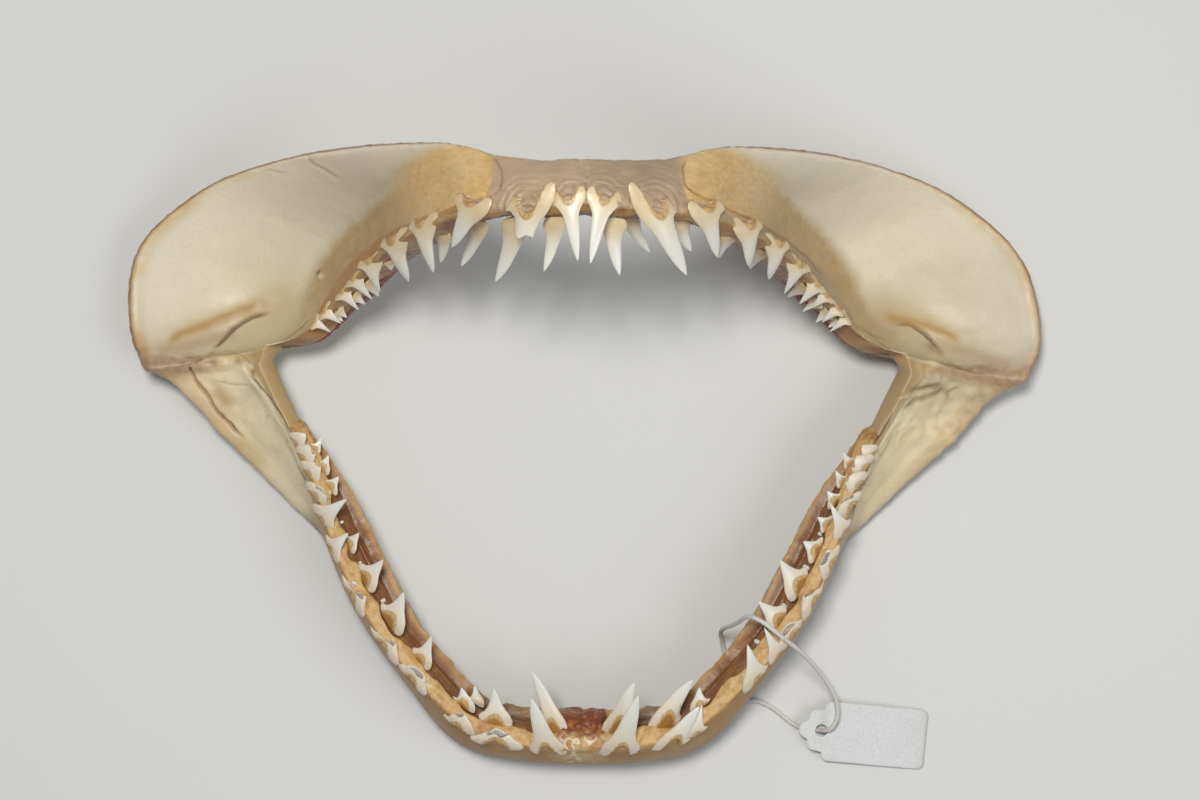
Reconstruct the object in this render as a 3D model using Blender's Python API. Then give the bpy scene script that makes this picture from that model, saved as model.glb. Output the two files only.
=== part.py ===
"""Jaw of a shortfin mako shark, cleaned, dried and spread open, lying on its back.

The floor is Z = 0. X runs across the jaw, with the animal's own left side at +X. Y runs from
the front of the lower jaw, which lies almost flat, to the upper jaw, whose front stands up
from the floor. Each side of each jaw is one curved bar of cartilage, lofted through a row of
cross-sections from the middle of the jaw to the hinge. A cross-section reaches from the tooth
edge to the far edge: the rim of the wing in the upper jaw, the underside in the lower jaw.
A band of dried gum lies along the tooth edge, and the teeth stand in it.
"""

import math
from collections import namedtuple

import bmesh
import bpy
from mathutils import Vector

# ---------------------------------------------------------------- sizes, in millimetres

MM = 0.001                  # millimetres to metres
GAP = 0.3                   # clearance between neighbouring pieces
MIDDLE = (-0.7, -2.5)       # X and Y of the middle of the whole piece in the tables below

# One row per cross-section, from the middle of the jaw to the hinge: where the tooth edge is,
# where the far edge is, then the thickness at the tooth edge and at the far edge, how deep the
# outer face is hollowed (negative where it bulges), how far the gum reaches down inside, and
# how far it swells inwards past the cartilage.
Section = namedtuple("Section", "edge far edge_thick far_thick hollow gum_depth gum_swell")

UPPER_SECTIONS = (
    Section((0.0, 89.6, 137.0), (0.0, 102.8, 129.0), 12.0, 9.0, -1.0, 9.0, 7.0),
    Section((11.8, 88.2, 135.5), (14.6, 102.8, 126.0), 12.0, 9.0, -1.5, 9.0, 7.0),
    Section((24.9, 87.2, 130.0), (28.8, 104.4, 120.0), 12.0, 8.0, -2.0, 9.0, 6.5),
    Section((39.0, 86.0, 121.5), (43.0, 108.4, 110.0), 12.0, 6.5, -1.0, 9.0, 5.5),
    Section((53.0, 82.8, 108.5), (59.0, 110.6, 94.0), 11.0, 5.5, 4.0, 9.0, 4.5),
    Section((66.0, 78.2, 92.0), (85.0, 111.4, 66.0), 10.5, 5.0, 11.0, 8.0, 4.0),
    Section((77.5, 71.0, 73.0), (116.0, 108.6, 38.0), 10.0, 4.5, 19.0, 8.0, 4.0),
    Section((86.5, 63.0, 57.0), (145.0, 98.5, 22.0), 10.0, 4.5, 26.0, 7.0, 4.0),
    Section((94.5, 54.5, 45.0), (168.5, 77.5, 17.0), 10.0, 4.5, 28.5, 6.0, 3.5),
    Section((104.0, 46.0, 36.0), (173.0, 49.5, 18.0), 11.0, 5.0, 22.5, 4.0, 2.0),
    Section((118.5, 41.0, 31.0), (165.5, 31.5, 24.0), 12.0, 6.0, 6.0, 3.0, 2.0),
)

LOWER_SECTIONS = (
    Section((0.0, -107.5, 36.0), (0.0, -118.0, 2.2), 12.0, 10.0, -2.5, 14.0, 8.5),
    Section((20.0, -107.0, 36.0), (20.5, -117.0, 2.4), 12.0, 10.0, -2.5, 14.0, 8.5),
    Section((37.0, -103.0, 36.0), (39.5, -114.0, 3.4), 12.0, 9.0, -2.5, 14.0, 8.5),
    Section((48.5, -95.5, 36.0), (53.0, -105.5, 4.8), 11.5, 9.0, -2.5, 13.0, 8.5),
    Section((59.5, -85.0, 36.0), (64.5, -91.0, 5.6), 11.0, 8.0, -2.0, 13.0, 9.0),
    Section((71.5, -71.5, 36.0), (75.5, -76.0, 5.0), 10.5, 8.0, -2.0, 12.0, 9.0),
    Section((82.5, -55.5, 36.0), (87.0, -58.5, 3.0), 10.0, 7.5, -2.0, 12.0, 10.5),
    Section((89.5, -42.0, 36.0), (94.0, -45.0, 1.8), 9.5, 7.0, -1.5, 12.0, 10.5),
    Section((95.0, -29.0, 35.0), (100.0, -32.5, 3.0), 9.0, 6.0, -1.0, 11.0, 10.0),
    Section((99.0, -16.0, 35.0), (107.5, -24.5, 6.0), 8.5, 5.0, -0.5, 9.0, 8.5),
    Section((104.0, -2.0, 34.0), (122.0, -10.0, 9.0), 8.5, 4.5, 1.0, 6.0, 6.0),
    Section((111.0, 13.0, 33.0), (138.5, 6.5, 13.5), 9.0, 4.5, 2.0, 4.0, 3.0),
    Section((120.5, 33.5, 31.0), (155.0, 25.5, 17.5), 10.0, 5.5, 2.0, 3.0, 3.0),
)

# The dried jaw is a little askew: both wings of the upper jaw lean towards the animal's right.
WING_LEAN = 3.0
WING_LEAN_X = (70.0, 140.0)         # it starts and is full at these distances from the middle
WING_LEAN_Y = (40.0, 85.0)

SYMPHYSIS_END = 0.16        # half length of the soft joint in the middle, in cross-sections
GUM_START = 0.03            # half the split between the two gums, in cross-sections
UPPER_GUM_END = 9.4         # where the gum ends, in cross-sections from the middle
LOWER_GUM_END = 10.6
GUM_RISE = 3.0              # height of the gum above the tooth edge
GUM_FRONT = 4.0             # how far the gum reaches down the outer face
GUM_STEPS = 15              # cross-sections along the gum and the cartilage under it
TAIL_STEPS = 3              # cross-sections of the cartilage beyond the gum
HOLLOW_SKEW = 0.8           # under 1 brings the deepest part of the face nearer the teeth
RIDGE_SHARE = 0.55          # share of the face over which the tooth ridge thins to the blade
LIP = 0.03                  # share of the outer face at which the tooth edge starts to round
OUTER_PARTS = (0.0, 0.1, 0.22, 0.36, 0.5, 0.66, 0.82, 1.0)
INNER_PARTS = (1.0, 0.84, 0.66, 0.46, 0.24)
HINGE_RINGS = ((0.0, 0.93), (0.3, 0.98), (0.7, 0.98), (1.0, 0.93))   # part of the way, size
HINGE_GAP = 0.5

# A tooth: distance along the tooth edge from the middle of the jaw, row (1 outermost), length
# from root to tip, width of the root, lean along the edge in degrees (towards the hinge).
Tooth = namedtuple("Tooth", "along row length width lean")

UPPER_TEETH = {
    "right": (
        Tooth(5.9, 1, 19.0, 9.0, 2), Tooth(12.8, 2, 19.5, 9.0, 32), Tooth(21.2, 1, 8.5, 14.0, 48),
        Tooth(29.7, 2, 29.0, 12.0, 48), Tooth(42.5, 1, 18.5, 11.5, 72),
        Tooth(47.6, 2, 26.0, 9.0, 64), Tooth(70.2, 1, 17.0, 10.5, 48),
        Tooth(68.5, 2, 18.0, 8.0, 66), Tooth(91.7, 1, 16.0, 11.0, 62),
        Tooth(107.5, 2, 5.0, 8.0, 72), Tooth(112.6, 1, 12.0, 8.5, 72),
        Tooth(126.0, 2, 8.0, 9.0, 40), Tooth(126.0, 1, 7.5, 6.5, 48), Tooth(135.1, 2, 5.0, 6.5, 24),
        Tooth(135.1, 1, 6.0, 5.5, 48), Tooth(146.2, 2, 4.0, 5.5, 38), Tooth(148.1, 1, 4.5, 5.0, 48),
        Tooth(148.7, 2, 4.0, 4.5, 40), Tooth(154.4, 1, 4.0, 4.0, 48),
    ),
    "left": (
        Tooth(5.9, 1, 20.0, 9.0, 0), Tooth(11.8, 2, 20.0, 10.0, 26), Tooth(18.9, 3, 20.5, 8.0, 48),
        Tooth(24.8, 1, 26.5, 15.0, 56), Tooth(40.4, 2, 15.5, 9.0, 60),
        Tooth(45.4, 1, 18.0, 11.0, 62), Tooth(68.5, 2, 10.0, 9.0, 38),
        Tooth(68.5, 1, 16.0, 10.0, 68), Tooth(91.7, 2, 10.0, 9.0, 46),
        Tooth(89.8, 1, 14.5, 9.5, 72), Tooth(109.3, 1, 11.5, 9.0, 62),
        Tooth(125.3, 2, 7.5, 9.0, 18), Tooth(125.3, 1, 7.5, 7.5, 48), Tooth(134.5, 2, 7.0, 6.0, 22),
        Tooth(132.4, 1, 4.0, 6.0, 48), Tooth(142.3, 2, 6.5, 6.0, 34), Tooth(141.7, 1, 5.0, 5.0, 48),
        Tooth(148.7, 2, 4.0, 5.0, 36), Tooth(148.1, 1, 5.5, 4.0, 48),
    ),
}
LOWER_TEETH = {
    "right": (
        Tooth(169.1, 1, 4.5, 6.0, -16), Tooth(163.5, 1, 4.5, 7.0, 12),
        Tooth(162.9, 2, 4.5, 5.0, 36), Tooth(157.3, 1, 4.5, 8.0, 26), Tooth(155.5, 2, 4.5, 7.0, 40),
        Tooth(148.4, 1, 4.5, 9.0, 2), Tooth(147.9, 2, 4.5, 8.0, 18), Tooth(139.6, 1, 12.5, 12.0, 4),
        Tooth(127.6, 1, 8.5, 11.0, 20), Tooth(126.4, 2, 6.0, 8.0, 28),
        Tooth(108.9, 1, 6.0, 13.0, 20), Tooth(112.0, 2, 11.0, 12.0, 20),
        Tooth(87.3, 1, 4.5, 13.0, 26), Tooth(92.9, 2, 13.0, 14.0, 30),
        Tooth(71.0, 1, 6.0, 12.0, 10), Tooth(73.9, 2, 10.5, 10.0, 26),
        Tooth(47.2, 1, 5.5, 10.0, 45), Tooth(49.3, 2, 6.5, 10.0, 50), Tooth(46.1, 3, 5.5, 7.0, 50),
        Tooth(31.3, 1, 8.0, 15.0, 8), Tooth(33.3, 2, 13.5, 13.0, 16),
        Tooth(12.6, 1, 23.0, 13.0, 16), Tooth(9.4, 2, 25.5, 10.0, 22),
    ),
    "left": (
        Tooth(167.2, 1, 4.5, 6.0, -14), Tooth(162.2, 1, 4.5, 8.0, -10),
        Tooth(159.7, 2, 4.5, 6.0, 32), Tooth(155.5, 1, 4.5, 8.0, -2), Tooth(152.5, 2, 4.5, 6.0, 26),
        Tooth(147.3, 1, 7.0, 10.0, 18), Tooth(145.0, 2, 4.5, 8.0, 16),
        Tooth(137.5, 1, 11.5, 10.0, 30), Tooth(136.4, 2, 4.5, 8.0, 8),
        Tooth(124.7, 1, 4.5, 11.0, 8), Tooth(126.4, 2, 6.5, 11.0, 10),
        Tooth(109.6, 1, 5.0, 12.0, 45), Tooth(111.4, 2, 13.5, 14.0, 24),
        Tooth(94.5, 1, 4.5, 11.0, 12), Tooth(96.1, 2, 11.5, 11.0, 8), Tooth(85.7, 1, 11.0, 9.0, 24),
        Tooth(73.9, 1, 13.0, 13.0, 32), Tooth(44.0, 1, 9.0, 9.0, 45), Tooth(50.5, 2, 7.0, 9.0, 36),
        Tooth(34.7, 1, 16.0, 13.0, 50), Tooth(31.3, 2, 21.5, 12.0, 42),
        Tooth(15.0, 1, 25.0, 14.0, 16), Tooth(13.4, 2, 21.0, 12.0, 20),
    ),
}

# Each row of teeth: how far in from the outer face and how high over the tooth edge its roots
# are, and how many degrees its teeth tip inwards.
Row = namedtuple("Row", "inset height tilt")

UPPER_ROWS = {1: Row(2.6, 1.0, 32.0), 2: Row(9.5, 1.5, 50.0), 3: Row(14.0, -2.0, 72.0)}
LOWER_ROWS = {1: Row(2.6, 1.0, 34.0), 2: Row(6.8, 1.2, 52.0), 3: Row(11.5, -2.0, 70.0)}
TOOTH_SIDES = 4
ROOT_DEPTH = 4.0            # how deep a root sits in the gum
ROOT_COVER = 2.4            # least depth of a root's middle behind the outer face
# Reach along the tooth (negative below the gum), then width, thickness and inward bend.
TOOTH_PROFILE = (
    (-1.0, 0.70, 0.75, 0.00),
    (0.14, 1.05, 0.72, 0.00),
    (0.42, 0.66, 0.56, 0.03),
    (0.74, 0.36, 0.36, 0.05),
    (1.00, 0.03, 0.03, 0.02),
)
SMALL_TOOTH_PROFILE = TOOTH_PROFILE[::2]
SMALL_TOOTH = 14.0          # teeth shorter than this have the small profile

TAG_SIZE = (49.5, 23.0, 0.6)        # length, width and thickness of the card
TAG_MIDDLE = (107.9, -104.9)        # its middle on the floor
TAG_TURN = -5.0                     # degrees about Z
TAG_LIFT = 4.6                      # degrees: the strung end is held up by the string
TAG_HOLE = 4.8                      # diameter
TAG_HOLE_INSET = 8.7                # from the tip of the scalloped end
TAG_SHOULDER = 12.0         # from the tip to where the scallops start
TAG_CORNER = 1.5            # radius of the two plain corners
TAG_LOBE_ARCS = ((90.0, 190.0), (80.0, 200.0), (110.0, 250.0), (160.0, 280.0), (170.0, 270.0))
STRING_DIAMETER = 1.7

KNOT_SIZE = (4.2, 3.6, 3.2)
KNOT_MIDDLE = (56.6, -82.6, 1.8)

# The string's route: from its knot inside the ramus, over the ramus, down through the tag's
# hole, back under the card and under the ramus to the knot.
STRING_ROUTE = (
    (56.1, -79.7, 1.6), (54.6, -74.6, 2.2), (53.4, -69.8, 4.6), (52.6, -66.0, 10.0), (53.5, -63.4, 20.0),
    (57.0, -60.8, 31.0), (61.1, -57.2, 41.5), (66.0, -58.6, 45.0), (73.6, -64.4, 42.0),
    (82.5, -71.8, 31.5), (90.4, -80.5, 21.0), (96.0, -89.5, 14.0), (97.4, -97.0, 10.0),
    (95.6, -101.6, 8.4), (93.4, -103.1, 6.2), (91.95, -103.5, 3.9), (90.3, -103.6, 1.9),
    (87.4, -103.4, 1.2), (83.6, -102.6, 1.1),
    (79.3, -100.0, 1.1), (73.9, -95.8, 1.1), (68.5, -93.2, 1.1), (63.5, -92.5, 1.1),
    (59.2, -90.4, 1.1), (57.2, -85.2, 1.5),
)
STRING_POINTS = 46

SIDES = {"right": -1.0, "left": 1.0}

# ---------------------------------------------------------------- materials


def make_material(name, colour, roughness):
    """A plain Principled material."""
    material = bpy.data.materials.new(name)
    material.use_nodes = True
    shader = material.node_tree.nodes["Principled BSDF"]
    shader.inputs["Base Color"].default_value = (*colour, 1.0)
    shader.inputs["Roughness"].default_value = roughness
    material.diffuse_color = (*colour, 1.0)
    return material


# ---------------------------------------------------------------- curves and sections


def smooth(values, at):
    """Catmull-Rom value of a list of numbers at a fractional index."""
    last = len(values) - 1
    at = min(max(at, 0.0), float(last))
    low = min(int(at), last - 1)
    part = at - low
    before = values[low - 1] if low > 0 else 2 * values[0] - values[1]
    after = values[low + 2] if low + 2 <= last else 2 * values[last] - values[last - 1]
    start, end = values[low], values[low + 1]
    return 0.5 * (2 * start + (end - before) * part
                  + (2 * before - 5 * start + 4 * end - after) * part ** 2
                  + (3 * start - before - 3 * end + after) * part ** 3)


def steps(start, end, count):
    return [start + (end - start) * index / (count - 1) for index in range(count)]


def smooth_step(value):
    value = min(max(value, 0.0), 1.0)
    return value * value * (3.0 - 2.0 * value)


def smooth_point(points, at):
    """A point of an edge; the other half of the jaw continues it past the middle."""
    side = -1.0 if at < 0.0 else 1.0
    mirrored = [(-points[1][0], points[1][1], points[1][2])] + list(points)
    place = [smooth([point[axis] for point in mirrored], abs(at) + 1.0) for axis in range(3)]
    return Vector((side * place[0], place[1], place[2]))


class Bar:
    """One jaw's bar of cartilage, on the +X side, with its cross-sections."""

    def __init__(self, sections, rows, gum_end, outward):
        self.sections = sections
        self.rows = rows
        self.stations = steps(SYMPHYSIS_END + 0.03, gum_end, GUM_STEPS)
        self.edges = [row.edge for row in sections]
        self.fars = [row.far for row in sections]
        self.outward = outward
        self.last = len(sections) - 1
        self.gum_end = gum_end

    def value(self, name, at):
        return smooth([getattr(row, name) for row in self.sections], abs(at))

    def frame(self, at):
        """Tooth edge, height of the bar, and the upward, inward and lengthwise directions."""
        step = 0.02
        edge = smooth_point(self.edges, at)
        far = smooth_point(self.fars, at)
        ahead = min(at + step, float(self.last))
        behind = ahead - 2 * step
        middle_ahead = smooth_point(self.edges, ahead) + smooth_point(self.fars, ahead)
        middle_behind = smooth_point(self.edges, behind) + smooth_point(self.fars, behind)
        along = (middle_ahead - middle_behind).normalized()
        upward = (edge - far).normalized()
        inward = self.outward * upward.cross(along).normalized()
        return edge, (edge - far).length, upward, inward, along

    def place(self, at, inset, height):
        """Point of the cross-section: inset from the outer face, height over the tooth edge."""
        edge, _, upward, inward, _ = self.frame(at)
        return edge + inward * inset + upward * height

    def root_place(self, at, row):
        """Where a tooth of this row stands, inside the gum."""
        cover = self.outer_face(at, LIP).x + ROOT_COVER
        return self.place(at, max(self.rows[row].inset, cover), self.rows[row].height)

    def outer_face(self, at, part):
        """Inset and height of the outer face, from the tooth edge (0) to the far edge (1)."""
        length = self.frame(at)[1]
        hollow = self.value("hollow", at)
        return Vector((hollow * math.sin(math.pi * part ** HOLLOW_SKEW), -length * part))

    def thickness(self, at, part):
        thick = self.value("edge_thick", at)
        thin = self.value("far_thick", at)
        return thick + (thin - thick) * smooth_step(part / RIDGE_SHARE)

    def inner_face(self, at, part):
        """The outer face, set off at right angles by the thickness."""
        nudge = 0.01
        ahead = self.outer_face(at, min(part + nudge, 1.0))
        behind = self.outer_face(at, max(part - nudge, 0.0))
        slope = (ahead - behind).normalized()
        across = Vector((-slope.y, slope.x))
        return self.outer_face(at, part) + across * self.thickness(at, part)

    def gum_foot(self, at):
        """Where the gum ends on the inner face."""
        length = self.frame(at)[1]
        part = min(self.value("gum_depth", at) / length, 0.5)
        return self.inner_face(at, part), part

    def cartilage_ring(self, at):
        """Outline of the cartilage: outer face, far edge, inner face, cut under the gum."""
        foot, foot_part = self.gum_foot(at)
        front = GUM_FRONT / self.frame(at)[1]
        outline = [self.outer_face(at, front + (0.97 - front) * part) for part in OUTER_PARTS]
        tip = self.outer_face(at, 1.0)
        back = self.inner_face(at, 1.0)
        half = self.thickness(at, 1.0) * 0.5
        outline.append((tip + back) * 0.5 + Vector((0.0, -half * 0.6)))
        for part in INNER_PARTS:
            outline.append(self.inner_face(at, foot_part + (0.97 - foot_part) * part))
        outline.append(foot)
        return [self.place(at, point.x, point.y) for point in outline]

    def gum_ring(self, at, fade=1.0):
        """Outline of the gum on the cut along the tooth edge, thinned by fade at its end."""
        foot, _ = self.gum_foot(at)
        start = self.outer_face(at, GUM_FRONT / self.frame(at)[1])
        lip = self.outer_face(at, LIP)
        slope = (foot - start).normalized()
        off = Vector((-slope.y, slope.x)) * GAP
        rise = GUM_RISE * fade
        swell = self.value("gum_swell", at) * fade
        outline = (
            start + off,
            lip + Vector((0.2, 0.5 + rise * 0.6)),
            lip + Vector((2.6, 0.6 + rise)),
            lip + Vector((foot.x * 0.8, 0.6 + rise)),
            foot + Vector((swell * 0.62, -foot.y * 0.88)),
            foot + Vector((swell, -foot.y * 0.35)),
            foot + Vector((swell * 0.6 + 0.5, 0.6)),
            foot + off,
        )
        return [self.place(at, point.x, point.y) for point in outline]


# ---------------------------------------------------------------- meshes


def share(value, bounds):
    """Smooth share, 0 to 1, of the way between two bounds."""
    return smooth_step((value - bounds[0]) / (bounds[1] - bounds[0]))


def to_metres(point, side):
    """A point of the +X side as it lies on its own side, no lower than the floor."""
    lean = WING_LEAN * share(point.x, WING_LEAN_X) * share(point.y, WING_LEAN_Y)
    x = point.x * side - lean - MIDDLE[0]
    return Vector((x, point.y - MIDDLE[1], max(point.z, 0.0))) * MM


def loft_mesh(name, rings):
    """Closed mesh through rings of equal count, with flat ends."""
    mesh = bmesh.new()
    rows = [[mesh.verts.new(point) for point in ring] for ring in rings]
    count = len(rows[0])
    for row, following in zip(rows, rows[1:]):
        for index in range(count):
            after = (index + 1) % count
            mesh.faces.new((row[index], row[after], following[after], following[index]))
    mesh.faces.new(rows[0])
    mesh.faces.new(rows[-1])
    bmesh.ops.triangulate(mesh, faces=mesh.faces[:])
    bmesh.ops.recalc_face_normals(mesh, faces=mesh.faces[:])
    data = bpy.data.meshes.new(name)
    mesh.to_mesh(data)
    mesh.free()
    return data


def add_object(name, data, collection, material):
    item = bpy.data.objects.new(name, data)
    data.materials.append(material)
    collection.objects.link(item)
    return item


def add_cartilage(name, bar, side, collection, material):
    rings = []
    for at in bar.stations + steps(bar.gum_end, float(bar.last), TAIL_STEPS + 1)[1:]:
        rings.append([to_metres(point, side) for point in bar.cartilage_ring(at)])
    add_object(name, loft_mesh(name, rings), collection, material)


def add_symphysis(name, bar, collection, material):
    outer = bar.cartilage_ring(SYMPHYSIS_END)
    middle = bar.cartilage_ring(0.0)
    rings = [[to_metres(point, -1.0) for point in outer],
             [to_metres(point, 1.0) for point in middle],
             [to_metres(point, 1.0) for point in outer]]
    add_object(name, loft_mesh(name, rings), collection, material)


def add_hinge(name, upper, lower, side, collection, material):
    """Dried tissue of the jaw joint, from the end of one bar to the end of the other."""
    top = upper.cartilage_ring(upper.last)
    bottom = lower.cartilage_ring(lower.last)
    top_centre = sum(top, Vector()) / len(top)
    bottom_centre = sum(bottom, Vector()) / len(bottom)
    way = (bottom_centre - top_centre).normalized()
    rings = []
    for part, size in HINGE_RINGS:
        centre = top_centre.lerp(bottom_centre, part)
        ring = []
        for above, below in zip(top, bottom):
            point = above.lerp(below, part)
            ring.append(centre + (point - centre) * size)
        rings.append(ring)
    rings[0] = [point + way * HINGE_GAP for point in rings[0]]
    rings[-1] = [point - way * HINGE_GAP for point in rings[-1]]
    rings = [[to_metres(point, side) for point in ring] for ring in rings]
    add_object(name, loft_mesh(name, rings), collection, material)


# ---------------------------------------------------------------- gum and teeth


def section_at_length(bar, length):
    """Cross-section number at a distance along the tooth edge from the middle."""
    step = 0.02
    at = 0.0
    run = 0.0
    previous = smooth_point(bar.edges, 0.0)
    while run < length and at < bar.last:
        at += step
        point = smooth_point(bar.edges, at)
        run += (point - previous).length
        previous = point
    return at


def tooth_rings(bar, tooth):
    """Rings of one tooth, root first: a slim curved crown on a wider, flatter root."""
    at = section_at_length(bar, tooth.along)
    _, _, upward, inward, along = bar.frame(at)
    root = bar.root_place(at, tooth.row)
    tilt = math.radians(bar.rows[tooth.row].tilt)
    lean = math.radians(tooth.lean)
    rise = upward * math.cos(tilt) + inward * math.sin(tilt)
    flat_along = (along - rise * along.dot(rise)).normalized()
    direction = rise * math.cos(lean) + flat_along * math.sin(lean)
    across = flat_along * math.cos(lean) - rise * math.sin(lean)
    through = direction.cross(across).normalized()
    if through.dot(inward) < 0.0:
        through.negate()
    rings = []
    profile = SMALL_TOOTH_PROFILE if tooth.length < SMALL_TOOTH else TOOTH_PROFILE
    for reach, wide, thick, bend in profile:
        if reach < 0.0:
            centre = root + direction * (reach * ROOT_DEPTH)
        else:
            centre = root + direction * (reach * tooth.length)
        centre = centre + through * (bend * tooth.length)
        ring = []
        for index in range(TOOTH_SIDES):
            angle = 2.0 * math.pi * index / TOOTH_SIDES
            depth = math.sin(angle) * (1.0 if math.sin(angle) > 0.0 else 0.6)
            ring.append(centre + across * (math.cos(angle) * wide * tooth.width * 0.5)
                        + through * (depth * thick * tooth.width * 0.5))
        rings.append(ring)
    return rings


def add_teeth(name, bar, side, teeth, collections, material):
    """The gum band of one side with its teeth united to it."""
    kept, cutters = collections
    rings = []
    for at in [GUM_START] + bar.stations:
        fade = 1.0 - 0.6 * smooth_step((at - bar.gum_end + 1.5) / 1.5)
        rings.append([to_metres(point, side) for point in bar.gum_ring(at, fade)])
    gum = add_object(name, loft_mesh(name, rings), kept, material)
    for number, tooth in enumerate(teeth):
        rings = [[to_metres(point, side) for point in ring] for ring in tooth_rings(bar, tooth)]
        guide_name = f"{name}_guide_{number}"
        guide = add_object(guide_name, loft_mesh(guide_name, rings), cutters, material)
        guide.hide_render = True
        guide.display_type = "WIRE"
        union = gum.modifiers.new(f"tooth_{number}", "BOOLEAN")
        union.operation = "UNION"
        union.solver = "EXACT"
        union.object = guide


# ---------------------------------------------------------------- tag and string


def tag_outline():
    """Outline of the card, lengthwise along X: a straight end and a scalloped one."""
    length, width, _ = TAG_SIZE
    right = length * 0.5
    top = width * 0.5
    shoulder = -right + TAG_SHOULDER
    points = []
    for corner_x, corner_y, start in ((right, -top, -90.0), (right, top, 0.0)):
        centre_x = corner_x - TAG_CORNER
        centre_y = corner_y - math.copysign(TAG_CORNER, corner_y)
        for index in range(3):
            angle = math.radians(start + 45.0 * index)
            points.append((centre_x + TAG_CORNER * math.cos(angle),
                           centre_y + TAG_CORNER * math.sin(angle)))
    lobes = ((shoulder, top - 2.6, 2.6), (shoulder - 5.6, top - 6.6, 3.0),
             (-right + 3.4, 0.0, 3.4), (shoulder - 5.6, 6.6 - top, 3.0),
             (shoulder, 2.6 - top, 2.6))
    for (x, y, radius), (first, last) in zip(lobes, TAG_LOBE_ARCS):
        for angle in steps(first, last, 4):
            turn = math.radians(angle)
            points.append((x + radius * math.cos(turn), y + radius * math.sin(turn)))
    return points


def add_tag(collections, material):
    """The card tag, with a hole for its string."""
    kept, cutters = collections
    thickness = TAG_SIZE[2]
    mesh = bmesh.new()
    for height in (0.0, thickness):
        ring = [mesh.verts.new(Vector((x, y, height)) * MM) for x, y in tag_outline()]
        mesh.faces.new(ring)
    count = len(tag_outline())
    mesh.verts.ensure_lookup_table()
    for index in range(count):
        after = (index + 1) % count
        mesh.faces.new((mesh.verts[index], mesh.verts[after],
                        mesh.verts[count + after], mesh.verts[count + index]))
    bmesh.ops.recalc_face_normals(mesh, faces=mesh.faces[:])
    data = bpy.data.meshes.new("tag")
    mesh.to_mesh(data)
    mesh.free()
    tag = add_object("tag", data, kept, material)
    length = TAG_SIZE[0]
    lift = math.radians(TAG_LIFT)
    raised = length * 0.5 * math.sin(lift) + GAP
    tag.rotation_euler = (0.0, lift, math.radians(TAG_TURN))
    x, y = (TAG_MIDDLE[axis] - MIDDLE[axis] for axis in range(2))
    tag.location = Vector((x, y, raised)) * MM
    bpy.ops.mesh.primitive_cylinder_add(vertices=16, radius=TAG_HOLE * 0.5 * MM, depth=5 * MM)
    hole = bpy.context.active_object
    hole.name = "tag_hole_cutter"
    for collection in hole.users_collection:
        collection.objects.unlink(hole)
    cutters.objects.link(hole)
    hole.parent = tag
    hole.location = Vector((-length * 0.5 + TAG_HOLE_INSET, 0.0, 0.0)) * MM
    hole.hide_render = True
    hole.display_type = "WIRE"
    cut = tag.modifiers.new("hole", "BOOLEAN")
    cut.operation = "DIFFERENCE"
    cut.solver = "EXACT"
    cut.object = hole


def add_string(collection, material):
    """The tag's cotton string, a tube along its smooth route."""
    curve = bpy.data.curves.new("tag_string", "CURVE")
    curve.dimensions = "3D"
    curve.bevel_depth = STRING_DIAMETER * 0.5 * MM
    curve.bevel_resolution = 2
    curve.use_fill_caps = True
    spline = curve.splines.new("POLY")
    spline.points.add(STRING_POINTS - 1)
    last = len(STRING_ROUTE) - 1
    for point, at in zip(spline.points, steps(0.0, float(last), STRING_POINTS)):
        place = [smooth([stop[axis] for stop in STRING_ROUTE], at) for axis in range(3)]
        x, y = (place[axis] - MIDDLE[axis] for axis in range(2))
        point.co = (x * MM, y * MM, place[2] * MM, 1.0)
    item = bpy.data.objects.new("tag_string", curve)
    curve.materials.append(material)
    collection.objects.link(item)


def add_knot(collection, material):
    """The knot that joins the ends of the string."""
    bpy.ops.mesh.primitive_ico_sphere_add(subdivisions=2, radius=0.5 * MM)
    knot = bpy.context.active_object
    knot.name = "tag_knot"
    for linked in knot.users_collection:
        linked.objects.unlink(knot)
    collection.objects.link(knot)
    knot.scale = KNOT_SIZE
    x, y = (KNOT_MIDDLE[axis] - MIDDLE[axis] for axis in range(2))
    knot.location = Vector((x, y, KNOT_MIDDLE[2])) * MM
    knot.data.materials.append(material)


# ---------------------------------------------------------------- the jaw


def main():
    for item in list(bpy.data.objects):
        bpy.data.objects.remove(item, do_unlink=True)
    kept = bpy.data.collections.new("shark_jaw")
    cutters = bpy.data.collections.new("cutters")
    for collection in (kept, cutters):
        bpy.context.scene.collection.children.link(collection)

    cartilage = make_material("cartilage", (0.70, 0.62, 0.46), 0.55)
    tissue = make_material("dried_tissue", (0.42, 0.27, 0.14), 0.5)
    teeth = make_material("teeth", (0.82, 0.79, 0.72), 0.3)
    card = make_material("card", (0.86, 0.86, 0.88), 0.8)
    cotton = make_material("cotton", (0.84, 0.82, 0.80), 0.9)

    upper = Bar(UPPER_SECTIONS, UPPER_ROWS, UPPER_GUM_END, -1.0)
    lower = Bar(LOWER_SECTIONS, LOWER_ROWS, LOWER_GUM_END, 1.0)
    for side_name, side in SIDES.items():
        add_cartilage(f"upper_jaw_{side_name}", upper, side, kept, cartilage)
        add_cartilage(f"lower_jaw_{side_name}", lower, side, kept, cartilage)
        add_hinge(f"hinge_{side_name}", upper, lower, side, kept, tissue)
        add_teeth(f"upper_teeth_{side_name}", upper, side, UPPER_TEETH[side_name],
                  (kept, cutters), teeth)
        add_teeth(f"lower_teeth_{side_name}", lower, side, LOWER_TEETH[side_name],
                  (kept, cutters), teeth)
    add_symphysis("upper_symphysis", upper, kept, tissue)
    add_symphysis("lower_symphysis", lower, kept, tissue)
    add_tag((kept, cutters), card)
    add_string(kept, cotton)
    add_knot(kept, cotton)


main()
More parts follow.
